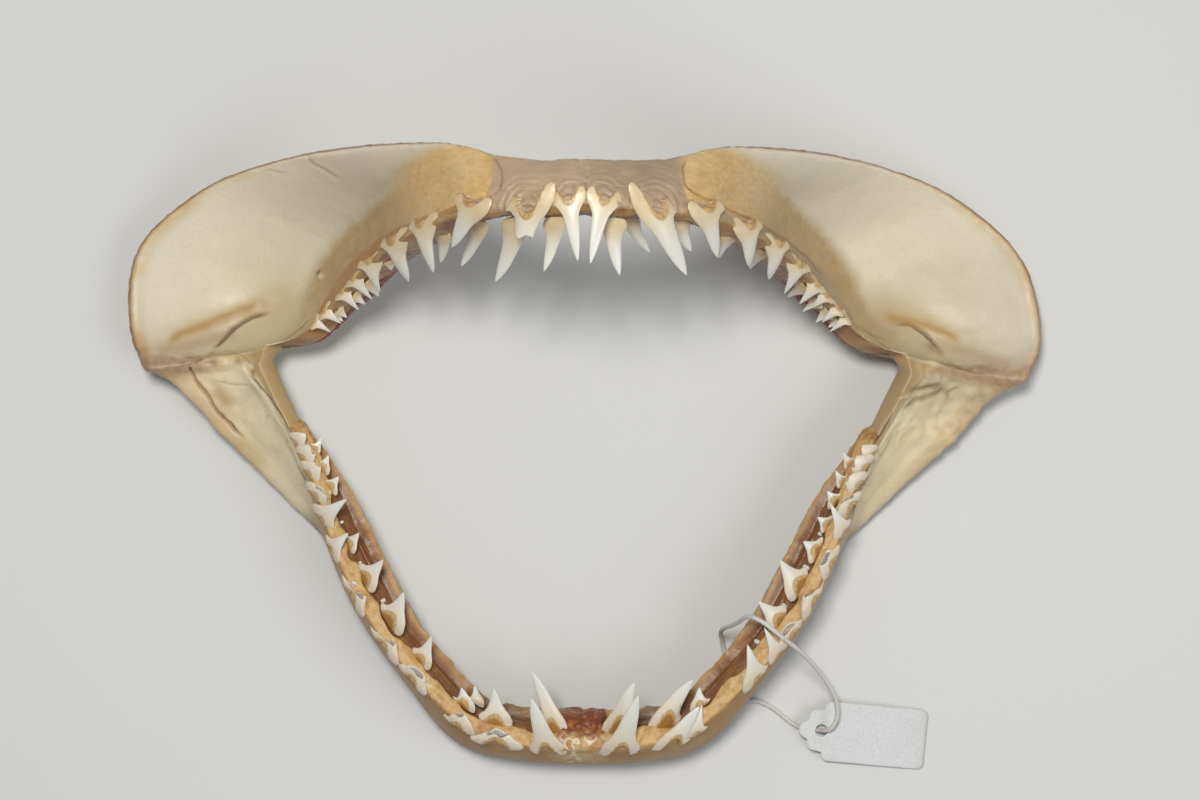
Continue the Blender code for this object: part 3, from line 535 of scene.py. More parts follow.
MARKS = (
    # the upper jaw
    # painted shade: a DARK line in a deep crease
    Mark(((270, 312), (251, 317.5), (234, 328), (222, 340), (212, 348)), 1.6, 1.3, DARK, 0.85),
    Mark(((165, 340), (202, 325), (234, 313), (279, 299)), 13.0, -0.5, YELLOW_TAN, 0.4),
    Mark(((163, 345), (180, 335), (202, 327), (230, 316), (262, 305)), 5.0, -0.5, FOLD_TAN, 0.85),
    Mark(((150, 352), (180, 347), (212, 338), (240, 330)), 7.0, 0.4, HINGE_PINK, 0.6),
    Mark(((236, 341), (262, 326), (290, 316)), 7.0, -0.3, WARM_CREAM * 0.85, 0.5),
    Mark(((305, 149), (310, 162), (324, 171), (342, 181)), 1.4, 0.4, YELLOW_TAN, 0.55),
    Mark(((312, 152), (317, 162)), 4.0, -0.5, WARM_CREAM, 0.7),
    Mark(((262, 168), (275, 172), (290, 175)), 0.9, 0.15, TAN, 0.35),
    Mark(((321, 277), (321.5, 277.5)), 2.6, -1.2, CREAM, 0.9),
    Mark(((318, 271), (316, 273)), 1.6, 0.5, DARK, 0.8),
    Mark(((316, 285), (317, 290)), 1.8, 0.5, DARK, 0.7),
    Mark(((478, 146), (493, 155), (501, 170), (499, 188), (485, 200), (462, 208), (440, 216)),
         1.1, 0.45, RIM_BROWN, 0.45),
    Mark(((690, 152), (683, 166), (686, 184), (700, 196), (722, 205), (745, 216), (765, 227),
          (786, 240), (806, 257), (822, 276)), 1.1, 0.6, RIM_BROWN, 0.65),
    # painted shade: a DARK line in a deep crease
    Mark(((893, 324.5), (909, 323.5), (924, 333), (936, 344), (944, 354)), 1.6, 1.3, DARK, 0.85),
    Mark(((866, 311), (892, 313), (925, 322), (965, 342)), 12.0, -0.5, YELLOW_TAN, 0.4),
    Mark(((880, 316), (925, 326), (962, 343)), 4.5, -0.4, FOLD_TAN, 0.8),
    Mark(((858, 320), (880, 330), (905, 338)), 8.0, -0.2, TAN * 1.2, 0.5),
    Mark(((625, 172), (650, 178), (668, 188)), 16.0, 0.0, GUM_GREY * 0.85, 0.5),
    Mark(((581, 162), (581.2, 160)), 2.0, -0.3, GUM_PINK * 1.3, 0.6),
    Mark(((850, 322), (872, 334), (893, 343)), 1.6, 0.1, TAN, 0.6),
    Mark(((925, 345), (960, 352), (1000, 362), (1020, 368)), 6.0, -0.4, GUM_PINK, 0.7),
    Mark(((922, 339), (936, 350), (946, 360)), 4.5, 0.2, TAN * 0.55, 0.6),
    Mark(((1000, 258), (1012, 268)), 8.0, 0.2, COOL_CREAM * 0.85, 0.45),
    Mark(((860, 160), (876, 170)), 5.0, 0.1, WARM_CREAM, 0.5),
    Mark(((586, 160), (588, 178), (587, 196)), 2.4, 0.5, GUM_PINK * 1.25, 0.5),
    # the lower jaw and the joints
    # painted shade: a DARK line in the deep groove beside the rod
    Mark(((246, 374), (262, 392), (272, 404), (281, 416.5), (290, 432), (298, 448), (303, 468),
          (306, 482)), 1.5, 1.1, DARK, 0.75),
    Mark(((188, 364), (195, 382), (206, 396), (215, 411), (226, 423), (243, 441)), 1.6, 0.9,
         RIM_BROWN, 0.65),
    Mark(((219, 412), (225, 421)), 4.0, 0.3, ORANGE * 0.9, 0.75),
    Mark(((262, 427), (264, 417), (271, 416)), 0.8, 0.3, DARK, 0.6),
    Mark(((212, 381), (227, 385), (252, 387)), 1.2, 0.3, TAN, 0.5),
    Mark(((294, 489), (305, 485.5)), 0.9, 0.5, DARK, 0.6),
    Mark(((253, 372), (253.3, 373.3)), 2.6, 0.2, ORANGE, 0.95),
    # painted shade: a DARK line in the deep groove beside the rod
    Mark(((894, 410), (880, 432), (871, 450), (865.5, 477), (860, 497), (853, 518)), 1.5, 1.1,
         DARK, 0.75),
    Mark(((938, 424), (940, 434)), 3.2, 0.5, ORANGE, 0.7),
    Mark(((930, 452), (938, 448)), 0.8, 0.3, DARK, 0.5),
    Mark(((867, 487.5), (879, 486.5)), 0.8, 0.3, DARK, 0.5),
    Mark(((900, 412), (920, 402), (945, 392), (955, 398)), 3.0, 0.9, TAN, 0.55),
    Mark(((925, 366), (937, 358), (942, 352)), 6.0, -1.0, WARM_CREAM * 1.2, 0.75),
    Mark(((962, 372), (968, 382)), 1.6, 0.7, RIM_BROWN, 0.7),
    Mark(((947, 412), (952, 394), (966, 384)), 2.2, 0.6, TAN, 0.5),
    Mark(((186, 367), (200, 358), (212, 351), (220, 348)), 1.6, 0.7, TAN * 0.7, 0.6),
    Mark(((219, 349), (233, 350), (246, 360), (256, 369)), 1.2, 0.5, TAN * 0.9, 0.5),
    Mark(((190, 369), (190.4, 371)), 1.1, 0.6, DARK, 0.8),
    Mark(((212, 363), (238, 362)), 9.0, -0.8, WARM_CREAM * 1.2, 0.85),
    Mark(((206, 386), (220, 400), (234, 410)), 9.0, 0.0, YELLOW_TAN * 0.92, 0.8),
    Mark(((232, 398), (252, 392), (262, 404)), 7.0, 0.2, SHADED_CREAM * 0.85, 0.45),
    Mark(((948, 359), (960, 366), (975, 372), (990, 373)), 1.8, 0.7, TAN * 0.7, 0.5),
    Mark(((906, 392), (930, 389), (950, 386)), 3.2, 1.1, TAN, 0.6),
    Mark(((893, 399), (912, 396), (932, 394)), 2.2, -0.8, WARM_CREAM, 0.4),
)

MARK_SHADE = 0.3            # how much a deep mark darkens, and the depths over which it does
MARK_SHADED = (0.3, 1.0)
MARK_DOT = 4.0              # marks shorter than this, in pixels, are dots
MARK_TAPER = 14.0           # pixels over which the ends of the longer ones fade


def apply_marks(pixels, shown, colour):
    """Colour with the marks on it, and their depth, where the surface shows in the photograph."""
    depth = np.zeros(pixels.shape[:-1])
    flat = np.dstack((pixels, pixels[..., :1] * 0))
    wobble = np.stack([value_noise(flat, 7.0, seed) for seed in (3.0, 5.0)], -1)
    for mark in MARKS:
        away = near_line(pixels + wobble * 0.8, mark.line)
        strength = np.exp(-(away / mark.width) ** 2) * shown
        if math.dist(mark.line[0], mark.line[-1]) > MARK_DOT:
            ends = [np.linalg.norm(pixels - np.array(end, float), axis=-1)
                    for end in (mark.line[0], mark.line[-1])]
            strength = strength * ramp(np.minimum(*ends), -2.0, MARK_TAPER)
        depth += mark.depth * strength
        colour = mix(colour, mark.colour, strength * mark.strength)
    return colour, depth


FOLD_PITCH = 2.3            # mm between the folds of the front gum that ring each root
FOLD_REACH = 5.0            # mm from the root over which they die away
FOLD_HEIGHT = 0.32
FOLD_END = (3.2, 2.4)       # sections over which they end
FOLD_TEETH = 50.0           # teeth nearer the middle than this have folds round their roots


def root_folds(points, bar, teeth):
    """Folds of dried gum that follow the heads of the front roots, from -1 to 1."""
    folds = np.zeros(points.shape[:-1])
    weight = np.full(points.shape[:-1], 1e-6)
    for tooth in teeth:
        if tooth.row > 1 or tooth.along > FOLD_TEETH:
            continue
        root = bar.root_place(bar.section_at(np.array([tooth.along])), 1)[0]
        past = np.linalg.norm(points - root, axis=-1) - 0.5 * tooth.width
        near = np.exp(-np.maximum(past, 0.0) / FOLD_REACH * 1.6)
        wave = np.cos((past - 1.0) * 2 * np.pi / FOLD_PITCH + value_noise(points, 5.0, 66.0) * 2.0)
        folds += near ** 3 * wave * near
        weight += near ** 3
    return folds / weight


# ---------------------------------------------------------------- cartilage

BAR_ROWS = 380              # rows of points along each bar
JOINT_ROWS = 60             # and along a soft joint
OUTER_COLUMNS = 120
RIM_COLUMNS = 10
INNER_COLUMNS = 34
TOP_COLUMNS = 12            # over the tooth edge, bare beyond the end of the gum
TOP_RISE = 0.30             # height of that rounding, as a share of half its width
RIM_RISE = 0.8
RIM_SMOOTHED = 8            # columns on each side of the rim that are smoothed with it
RIM_PASSES = 10
UNDER_GUM = 1.2             # mm that the cartilage sinks where the gum covers it
HINGE_LAP = 0.16            # sections of either bar that the joint's skin reaches over
LAP_ROWS = 14
LAP_PROUD = 0.05            # mm that it stands over the bars' own skin, but not at its border
JOINT_SMOOTH = 50           # passes that round off its creases
END_SUNK = 1.6              # mm that the ends of the bars sink under it
EDGE_SUNK = 0.3             # share of that at their thin tooth edges
EXTRA_RIM = 0.35            # the ragged dried skin stands this far past the far edge, in mm
HALVES_BLEND = 5.0          # mm on each side of the middle over which the two halves' looks blend


def half_round(first, last, out, columns, rise):
    """Columns of a half turn from one face's edge to the next one's, `rise` as high as wide."""
    turn = np.linspace(0.0, np.pi, columns + 2)[None, 1:-1, None]
    middle = (first + last) * 0.5
    half = (first - last) * 0.5
    height = out[:, None, :] * np.linalg.norm(half, axis=-1, keepdims=True) * rise
    return middle + half * np.cos(turn) + height * np.sin(turn)


def smooth_columns(points, first, last, passes):
    """Points with the creases between some of their columns rounded off."""
    for _ in range(passes):
        band = points[:, first - 1:last + 1]
        points[:, first:last] = (band[:, :-2] + 2.0 * band[:, 1:-1] + band[:, 2:]) / 4.0
    return points


def bar_grid(bar, start, end, rows):
    """Points in mm of a bar's cartilage, with the section and the place across of each."""
    at = np.linspace(start, end, rows)[:, None]
    bare = bar.bare(at)
    front = GUM_FRONT / bar.frame(at)[1]
    foot_part = bar.gum_foot(at)[1]
    share = np.linspace(0.0, 1.0, OUTER_COLUMNS)[None, :]
    outer_part = 0.5 * front + (RIM - 0.5 * front) * share
    outer_at = np.broadcast_to(at, outer_part.shape)
    inset, height = bar.outer_face(outer_at, outer_part)
    inset = inset + UNDER_GUM * ramp(outer_part / front, 1.5, 0.6) * (1.0 - bare)
    outer = bar.place(outer_at, inset, height)
    back = np.linspace(1.0, 0.0, INNER_COLUMNS)[None, :]
    inner_part = foot_part + (RIM - foot_part) * back
    inner_at = np.broadcast_to(at, inner_part.shape)
    inner = bar.place(inner_at, *bar.inner_face(inner_at, inner_part))
    upward = bar.frame(at[:, 0])[2]
    rim = half_round(outer[:, -1:], inner[:, :1], -upward, RIM_COLUMNS, RIM_RISE)
    top = half_round(inner[:, -1:], outer[:, :1], upward, TOP_COLUMNS, TOP_RISE * bare[..., None])
    points = np.concatenate((outer, rim, inner, top), axis=1)
    points = smooth_columns(points, OUTER_COLUMNS - RIM_SMOOTHED,
                            OUTER_COLUMNS + RIM_COLUMNS + RIM_SMOOTHED, RIM_PASSES)
    part = np.concatenate((outer_part, np.ones((rows, RIM_COLUMNS)), inner_part,
                           np.zeros((rows, TOP_COLUMNS))), axis=1)
    seen = np.concatenate((np.ones(OUTER_COLUMNS), np.linspace(1.0, 0.0, RIM_COLUMNS),
                           np.zeros(INNER_COLUMNS), np.linspace(0.1, 1.0, TOP_COLUMNS)))
    return points, np.broadcast_to(at, part.shape), part, np.broadcast_to(seen, part.shape)


def left_half(points):
    """1 on the animal's own left half, 0 on its right."""
    return ramp(points[..., 0], -HALVES_BLEND, HALVES_BLEND)


# Sections of the upper jaw, and the share across the face at which its tan tooth ridge meets
# the pale dish of the wing, and at which the ridge meets the gum.
RIDGE_AT = (3.0, 3.8, 4.3, 4.9, 5.5, 6.0, 6.5, 7.0, 7.5, 8.0, 8.5, 9.0)
RIDGE_EDGE = (0.99, 0.85, 0.73, 0.62, 0.53, 0.475, 0.455, 0.42, 0.37, 0.29, 0.24, 0.18)
GUM_AT = (2.0, 2.3, 2.6, 3.9, 5.0, 6.0, 7.0, 7.5, 8.5, 9.2)
GUM_EDGE = (0.85, 0.45, 0.13, 0.10, 0.16, 0.20, 0.20, 0.17, 0.05, 0.0)
# Sections of the upper jaw between which each stretch fades in or out.
FRONT_END = (2.45, 2.2)
BULGE_START = (2.1, 2.5)
BULGE_END = (5.4, 4.2)
# painted shade on the slope of the wing that rises to its tooth ridge
SLOPE_SHADE = (7.0, 4.0)
DISH_WARM = (6.5, 9.2)
# painted shade towards the joint
DISH_SHADE = (7.0, 8.6)
GUM_TAIL = (9.6, 8.8)
KNOB_MIDDLE = 9.7
SKIN_START = (9.55, 9.8)


def dish_colour(at, part, patchy, left):
    """The pale dish of the wing, warmer towards the joint and darker there by painted shade, with
    painted shade also on its slope by the tooth ridge.
    """
    colour = mix(CREAM, COOL_CREAM, ramp(patchy, -0.2, 0.5) * 0.5)
    colour = mix(colour, WARM_CREAM * 0.9, ramp(at, *DISH_WARM) * ramp(part, 0.9, 0.35) * 0.8)
    # painted shade: the dish darkens towards the joint, more on the left wing
    colour = shaded(colour, 1.0 - (0.12 + 0.09 * left) * ramp(at, *DISH_SHADE))
    # painted shade: grey cream on the slope beside the tooth ridge, at the front of the wing
    return mix(colour, SHADED_CREAM * 0.95, ramp(at, *SLOPE_SHADE) * ramp(part, 1.1, 0.6) * 0.85)


def ridge_colour(at, patchy, fine, left, strands):
    """The tan ridge that carries the side teeth."""
    tan = mix(TAN * 1.2, YELLOW_TAN, ramp(fine + 0.3 * patchy, -0.2, 0.6) * 0.5)
    tan = mix(tan, WARM_CREAM * 0.9, ramp(at, 7.4, 9.0) * 0.7)
    tan = shaded(tan, 1.0 + 0.28 * (1.0 - left) * ramp(at, 6.0, 4.6))
    return shaded(tan, 1.0 + 0.1 * strands)


def bulge_colour(points, patchy, fine):
    """The streaky orange bulge beside the front teeth."""
    streaks = stretched_noise(points, (0.14, 1.0, 0.5), 0.9, 4.0)
    colour = layered(YELLOW_TAN * 1.2,
                     (WARM_CREAM, ramp(patchy, -0.3, 0.6) * 0.4),
                     (BULGE_ORANGE, ramp(fine, 0.0, 0.6) * 0.5))
    right = ramp(points[..., 0], HALVES_BLEND, -HALVES_BLEND)
    return shaded(colour, 1.0 + 0.12 * right + 0.13 * streaks)


def upper_colour(points, at, part, seen):
    """Colour of the upper jaw's cartilage, before its marks."""
    patchy = rough_noise(points, 34.0, 1.0)
    fine = rough_noise(points, 5.0, 2.0)
    strands = stretched_noise(points, (0.35, 0.8, 0.8), 1.3, 4.0)
    bristles = stretched_noise(points, (0.6, 0.25, 0.6), 1.0, 51.0)
    left = left_half(points)
    ridge_edge = np.interp(at, RIDGE_AT, RIDGE_EDGE)
    ridge = ramp(part + 0.02 * fine, ridge_edge + 0.05, ridge_edge - 0.08)
    bulge = ramp(at, *BULGE_START) * ramp(at, *BULGE_END)
    gum_edge = np.interp(at, GUM_AT, GUM_EDGE)
    gum = ramp(part + 0.01 * fine, gum_edge + 0.015, gum_edge - 0.015) * ramp(at, *GUM_TAIL)
    pink = mix(GUM_PINK, GUM_GREY, ramp(rough_noise(points, 9.0, 6.0), -0.3, 0.6) * 0.6)
    pink = shaded(pink, 1.1 - 0.16 * left)
    fibres = mix(ORANGE * 1.25, TAN * 1.1, ramp(strands + fine, -0.5, 0.6))
    fibres = mix(fibres, pink, np.clip(left + ramp(at, 3.6, 2.6), 0.0, 1.0) * 0.9)
    ragged = ramp(fine + 0.5 * patchy, -0.6, 0.4)
    stained = ramp(part + 0.03 * patchy, 0.91, 0.985) * ramp(at, 5.0, 7.0) * (0.3 + 0.5 * ragged)
    rim = ramp(seen + 0.10 * fine, 0.96, 0.74) * ramp(at, 2.6, 3.4)
    knob = bump(at, KNOB_MIDDLE, 0.7) * ramp(part, 0.86, 0.97)
    skin = ramp(at + 0.16 * fine, *SKIN_START) * ramp(part, 0.25, 0.45)
    colour = layered(
        dish_colour(at, part, patchy, left),
        (ridge_colour(at, patchy, fine, left, strands), ridge * 0.92),
        (bulge_colour(points, patchy, fine),
         bulge * ramp(part, ridge_edge + 0.2, ridge_edge - 0.05)),
        (fibres, gum),
        (pink, ramp(at + 0.1 * ramp(part, 0.3, 0.9), *FRONT_END)),
        (YELLOW_TAN * 1.1, stained * seen),
        (RIM_BROWN * 1.1, rim * (0.6 + 0.35 * ragged)),
        (RIM_BROWN * 1.2, knob * 0.7 * (1.0 - left * 0.6)),
        (HINGE_PINK * (1.0 + 0.3 * bristles[..., None]), skin * 0.85),
        (mix(WARM_CREAM, TAN, ramp(patchy, -0.4, 0.6)), ramp(seen, 0.4, 0.0) * 0.65))
    return shaded(colour, 1.0 + 0.025 * fine)


# Sections of the lower jaw, and the share across the face at which its rod meets the plate.
ROD_AT = (9.0, 9.5, 10.3, 10.8, 11.4, 12.0)
ROD_EDGE = (0.34, 0.22, 0.13, 0.11, 0.14, 0.20)
# Sections of the lower jaw between which each stretch fades in or out.
SEAM_END = (0.7, 0.25)
PLATE_START = (8.2, 9.3)
FLANGE_START = (9.8, 10.8)


def plate_colour(at, part, patchy, fine, left):
    """The broad pale plate behind the last teeth, with the rod along its inner edge."""
    flange = ramp(part + 0.04 * fine, 0.74, 0.82) * ramp(at, *FLANGE_START)
    plate = mix(SHADED_CREAM * 1.5, WARM_CREAM * 0.97, ramp(patchy, -0.3, 0.5) * 0.8)
    plate = mix(plate, YELLOW_TAN * 1.05, flange * 0.5)
    plate = shaded(plate, 1.0 - 0.25 * ramp(at, 11.0, 12.0) * left)
    rod_edge = np.interp(at, ROD_AT, ROD_EDGE)
    rod = ramp(part, rod_edge + 0.01, rod_edge - 0.02)
    ridge = mix(YELLOW_TAN * 0.85, WARM_CREAM * 0.95, ramp(part / rod_edge + 0.3 * fine, 0.5, 0.8))
    return layered(plate, (ridge, rod * 0.9 * (1.0 - 0.25 * left)), (TAN, rod * left * 0.6),
                   (HINGE_PINK * 1.3, ramp(part + 0.06 * fine, 0.9, 1.0) * 0.6))


def lower_colour(points, at, part, seen):
    """Colour of the lower jaw's cartilage, before its marks, with painted shade low on its outer band.
    """
    patchy = rough_noise(points, 26.0, 11.0)
    fine = rough_noise(points, 4.0, 12.0)
    seam = ramp(at + 0.25 * fine, *SEAM_END) * ramp(part + 0.1 * fine, 0.6, 0.2)
    colour = layered(
        BAND,
        (WARM_CREAM, ramp(patchy, -0.3, 0.6) * 0.15 + ramp(at, 2.0, 6.0) * 0.25),
        # painted shade: the band darkens towards its far edge, low down by the floor
        (BAND * 0.6, ramp(part, 0.4, 0.9) * 0.8),
        (plate_colour(at, part, patchy, fine, left_half(points)),
         ramp(at + 0.2 * patchy, *PLATE_START)),
        (symphysis_colour(points, 0.0 * at), seam),
        (ORANGE, bump(part, 0.95, 0.12) * ramp(at, 2.6, 1.4) * 0.5),
        (mix(WARM_CREAM, TAN, ramp(patchy, -0.4, 0.6)), ramp(seen, 0.35, 0.0) * 0.6))
    return shaded(colour, 1.0 + 0.06 * fine)


def upper_relief(points, at, part, seen):
    """How deep, in mm, the upper jaw's surface lies under its plain cross-sections."""
    depth = 0.35 * rough_noise(points, 22.0, 21.0) + 0.12 * rough_noise(points, 5.0, 22.0)
    front = ramp(at, 2.75, 2.2) * seen
    folds = stretched_noise(points, (0.55, 1.3, 1.0), 6.0, 23.0, rough_noise)
    creases = stretched_noise(points, (0.5, 1.0, 1.0), 2.4, 25.0, rough_noise)
    depth += front * (0.45 * folds + 0.2 - 0.3 * creases)
    bulge = ramp(at, 2.3, 2.9) * ramp(at, 5.5, 4.0) * seen
    streaks = stretched_noise(points, (0.12, 1.0, 1.0), 1.1, 4.0)
    depth += bulge * 0.1 * streaks
    edge = np.interp(at, RIDGE_AT, RIDGE_EDGE)
    on_wing = ramp(at, 3.6, 4.6) * ramp(at, 8.9, 8.0) * seen
    depth += on_wing * 0.7 * bump(part, edge, 0.10)
    depth -= on_wing * 0.9 * np.sin(np.pi * np.clip(part / np.maximum(edge, 0.1), 0.0, 1.0))
    hinge = ramp(at, 9.2, 9.9) * ramp(part, 0.2, 0.5)
    depth += hinge * 0.8 * rough_noise(points, 6.0, 24.0)
    return depth + 0.3


def lower_relief(points, at, part, seen):
    """How deep, in mm, the lower jaw's surface lies under its plain cross-sections."""
    depth = 0.25 * rough_noise(points, 18.0, 31.0) + 0.1 * rough_noise(points, 4.0, 32.0)
    plate = ramp(at, 8.4, 9.4) * seen
    rod_edge = np.interp(at, ROD_AT, ROD_EDGE)
    dish = ramp(part, rod_edge - 0.02, rod_edge + 0.2) * ramp(part, 0.92, 0.66)
    depth += plate * (1.8 * dish + 0.45 * rough_noise(points, 9.0, 33.0))
    depth += plate * 0.5 * bump(part, rod_edge + 0.02, 0.05)
    lumps = np.abs(rough_noise(points, 11.0, 34.0)) - 0.25
    lumps = lumps * (0.9 + 2.6 * left_half(points))
    depth += ramp(at, 10.3, 11.2) * seen * lumps * ramp(part, 0.12, 0.3)
    return depth + 0.2


def fold_height(points, at, bar, teeth):
    """Height in mm of the folds round the front roots, which only the upper jaw has."""
    if not bar.folded:
        return 0.0
    own_side = np.concatenate((np.abs(points[..., :1]), points[..., 1:]), -1)
    return FOLD_HEIGHT * root_folds(own_side, bar, teeth) * ramp(at, *FOLD_END)


def add_bar_skin(name, grid, side, look, material, bar=None, teeth=()):
    """Mesh of a stretch of a bar, with its relief, marks and paint."""
    points, at, part, seen = grid
    own = mirrored(points, side)
    normals = outward_normals(points)
    pixels = in_photo(to_metres(points, side))
    colour, depth = apply_marks(pixels, seen, look.colour(own, at, part, seen))
    colour = shaded(colour, 1.0 - MARK_SHADE * ramp(depth, *MARK_SHADED))
    depth = depth + look.relief(own, at, part, seen)
    if teeth:
        depth = depth - fold_height(points, at, bar, teeth) * seen
        sunk = END_SUNK * (EDGE_SUNK + (1.0 - EDGE_SUNK) * ramp(part, 0.02, 0.15))
        depth = depth + sunk * ramp(at, bar.last - 0.45 * HINGE_LAP, bar.last)
    ragged = ramp(part, 0.94, 1.0) * (0.5 + rough_noise(own, 2.2, 41.0)) * EXTRA_RIM
    points = points - normals * (depth - ragged)[..., None]
    item = add_mesh(name, to_metres(points, side), caps=False)
    rough = 0.46 + 0.1 * rough_noise(own, 8.0, 42.0) + 0.12 * ramp(depth, 0.8, 1.6)
    paint(item, colour, rough)
    finish(item, material, name)


def hinge_grid(upper, lower):
    """Rings of skin over the end of the upper bar, the joint and the end of the lower bar."""
    above = bar_grid(upper, upper.last - HINGE_LAP, upper.last, LAP_ROWS)
    below = bar_grid(lower, lower.last, lower.last - HINGE_LAP, LAP_ROWS)
    way = np.linspace(0.0, 1.0, JOINT_ROWS + 2)[1:-1, None]

    def joined(field, share):
        start, end = above[field], below[field]
        return np.concatenate((start, start[-1] * (1.0 - share) + end[0] * share, end))

    points = joined(0, way[..., None])
    for _ in range(JOINT_SMOOTH):
        points[2:-2] = (points[1:-3] + 2.0 * points[2:-2] + points[3:-1]) / 4.0
    across = np.broadcast_to(way, (JOINT_ROWS, points.shape[1]))
    at = np.concatenate((above[1] - upper.last, across, 1.0 + lower.last - below[1]))
    return points, at, joined(2, way), joined(3, way)


def bar_ends(at):
    """Sections of the upper and of the lower bar nearest to each place on the joint's skin."""
    upper_end, lower_end = len(UPPER_SECTIONS) - 1.0, len(LOWER_SECTIONS) - 1.0
    return upper_end + np.minimum(at, 0.0), lower_end - np.maximum(at - 1.0, 0.0)


def hinge_colour(points, at, part, seen):
    """Bristly pink-brown skin over the joint, which takes the bars' looks at its ends."""
    strands = stretched_noise(points, (1.0, 0.3, 1.0), 1.2, 51.0)
    patchy = rough_noise(points, 9.0, 52.0)
    skin = mix(HINGE_PINK, YELLOW_TAN * 0.9, ramp(part, 0.40, 0.2) * 0.8)
    skin = mix(skin, DARK * 2.2, ramp(strands + 0.5 * patchy, 0.45, 1.0) * 0.5)
    skin = skin * (1.0 + 0.14 * strands[..., None])
    upper_at, lower_at = bar_ends(at)
    above = upper_colour(points, upper_at, part, seen)
    below = lower_colour(points, lower_at, part, seen)
    colour = mix(skin, above, ramp(at + 0.1 * patchy * ramp(at, 0.0, 0.1), 0.3, 0.0))
    return mix(colour, below, ramp(at + 0.1 * patchy * ramp(at, 1.0, 0.9), 0.4, 1.0))


def hinge_relief(points, at, part, seen):
    """How deep, in mm, the joint's skin lies, which takes the bars' relief at its ends."""
    folds = stretched_noise(points, (0.5, 1.6, 1.0), 8.0, 53.0, rough_noise)
    middle = 0.5 * folds + 0.25 * rough_noise(points, 2.2, 54.0) + 0.5
    upper_at, lower_at = bar_ends(at)
    above = upper_relief(points, upper_at, part, seen)
    below = lower_relief(points, lower_at, part, seen)
    depth = above + (middle - above) * ramp(at, 0.0, 0.3)
    border = 0.7 * HINGE_LAP
    inside = ramp(at, -HINGE_LAP, -border) * ramp(at, 1.0 + HINGE_LAP, 1.0 + border)
    return depth + (below - depth) * ramp(at, 0.4, 1.0) - LAP_PROUD * inside


# ---------------------------------------------------------------- gum

GUM_ROWS = 440
GUM_SPANS = (8, 14, 16, 34, 20, 20, 12, 5)  # columns between the nine corners of its outline
GUM_SHOWN = 0.55            # the dried gum stands this share of the solid's rise over the edge
GUM_TAPER = 0.5             # length of its tapered end, in cross-sections
CORE_DEPTH = 5.0            # mm under the gum's inner foot at which that end closes
TROUGH_DEPTH = 4.2          # mm, of the channel behind the lower teeth
TROUGH_SHORE = 3.0          # places across the gum, by its outline's corners: the channel's edge
BACK_LIP = 4.75             # and the lip behind it
MEMBRANE_AT = 1.9           # section at which a torn grey membrane stands behind the lower teeth
FOOT_START = 2.0            # the gum's outer foot, as shares of GUM_FRONT below the tooth edge
FOOT_END = 0.7
FOOT_SUNK = 0.35            # mm that its beginning lies under the cartilage


def gum_corners(bar, at, fade):
    """Inset and height of the nine corners of the gum's outline at each section."""
    foot, _ = bar.gum_foot(at)
    start = bar.outer_face(at, FOOT_START * GUM_FRONT / bar.frame(at)[1])
    middle = bar.outer_face(at, FOOT_END * GUM_FRONT / bar.frame(at)[1])
    lip = bar.outer_face(at, np.full_like(at, LIP))
    rise = GUM_RISE * GUM_SHOWN * fade
    swell = bar.size("gum_swell", at) * fade
    corners = (
        (start[0] + 0.5, start[1]),
        (middle[0], middle[1]),
        (lip[0] + 0.2, lip[1] + 0.5 + rise * 0.6),
        (lip[0] + 2.6, lip[1] + 0.6 + rise),
        (lip[0] + foot[0] * 0.8, lip[1] + 0.6 + rise),
        (foot[0] + swell * 0.62, foot[1] * 0.12),
        (foot[0] + swell, foot[1] * 0.65),
        (foot[0] + swell * 0.6 + 0.5, foot[1] + 0.6),
        (foot[0], foot[1]),
    )
    return np.stack([np.stack(corner, -1) for corner in corners], axis=1)


def smooth_paths(corners, spans):
    """Points along an open smooth path through the corners of each row."""
    first = 2 * corners[:, :1] - corners[:, 1:2]
    final = 2 * corners[:, -1:] - corners[:, -2:-1]
    padded = np.concatenate((first, corners, final), axis=1)
    places = np.concatenate([span + np.arange(count) / count for span, count in enumerate(spans)])
    places = np.append(places, float(len(spans)))
    low = np.minimum(places.astype(int), len(spans) - 1)
    path = catmull_rom([padded[:, low + shift] for shift in range(4)], (places - low)[None, :, None])
    return path, np.broadcast_to(places, path.shape[:2])


def gum_grid(bar):
    """Points in mm of a bar's gum, with the section and the place across of each."""
    end = min(bar.gum_end + GUM_TAPER, bar.last - HINGE_LAP)
    at = np.linspace(0.0, end, GUM_ROWS)
    fade = 1.0 - 0.6 * ramp(at, bar.gum_end - 1.5, bar.gum_end)
    path, across = smooth_paths(gum_corners(bar, at, fade), GUM_SPANS)
    across = across - 1.0
    rows = np.broadcast_to(at[:, None], across.shape)
    share = np.linspace(0.0, 1.0, GUM_SPANS[0] + 1)[None, :]
    foot = GUM_FRONT * (FOOT_START + (FOOT_END - FOOT_START) * share) / bar.frame(at)[1][:, None]
    inset, height = bar.outer_face(rows[:, :foot.shape[1]], foot)
    path[:, :foot.shape[1], 0] = inset + FOOT_SUNK * ramp(share, 0.8, 0.0)
    path[:, :foot.shape[1], 1] = height
    over = np.clip((at - end + GUM_TAPER) / GUM_TAPER, 0.0, 1.0)[:, None, None]
    core_part = np.minimum(bar.gum_foot(at)[1] + CORE_DEPTH / bar.frame(at)[1], 0.5)
    core = 0.5 * (np.stack(bar.outer_face(at, core_part), -1)
                  + np.stack(bar.inner_face(at, core_part), -1))[:, None, :]
    path = core + (path - core) * (1.0 - over ** 2)
    return bar.place(rows, path[..., 0], path[..., 1]), rows, across


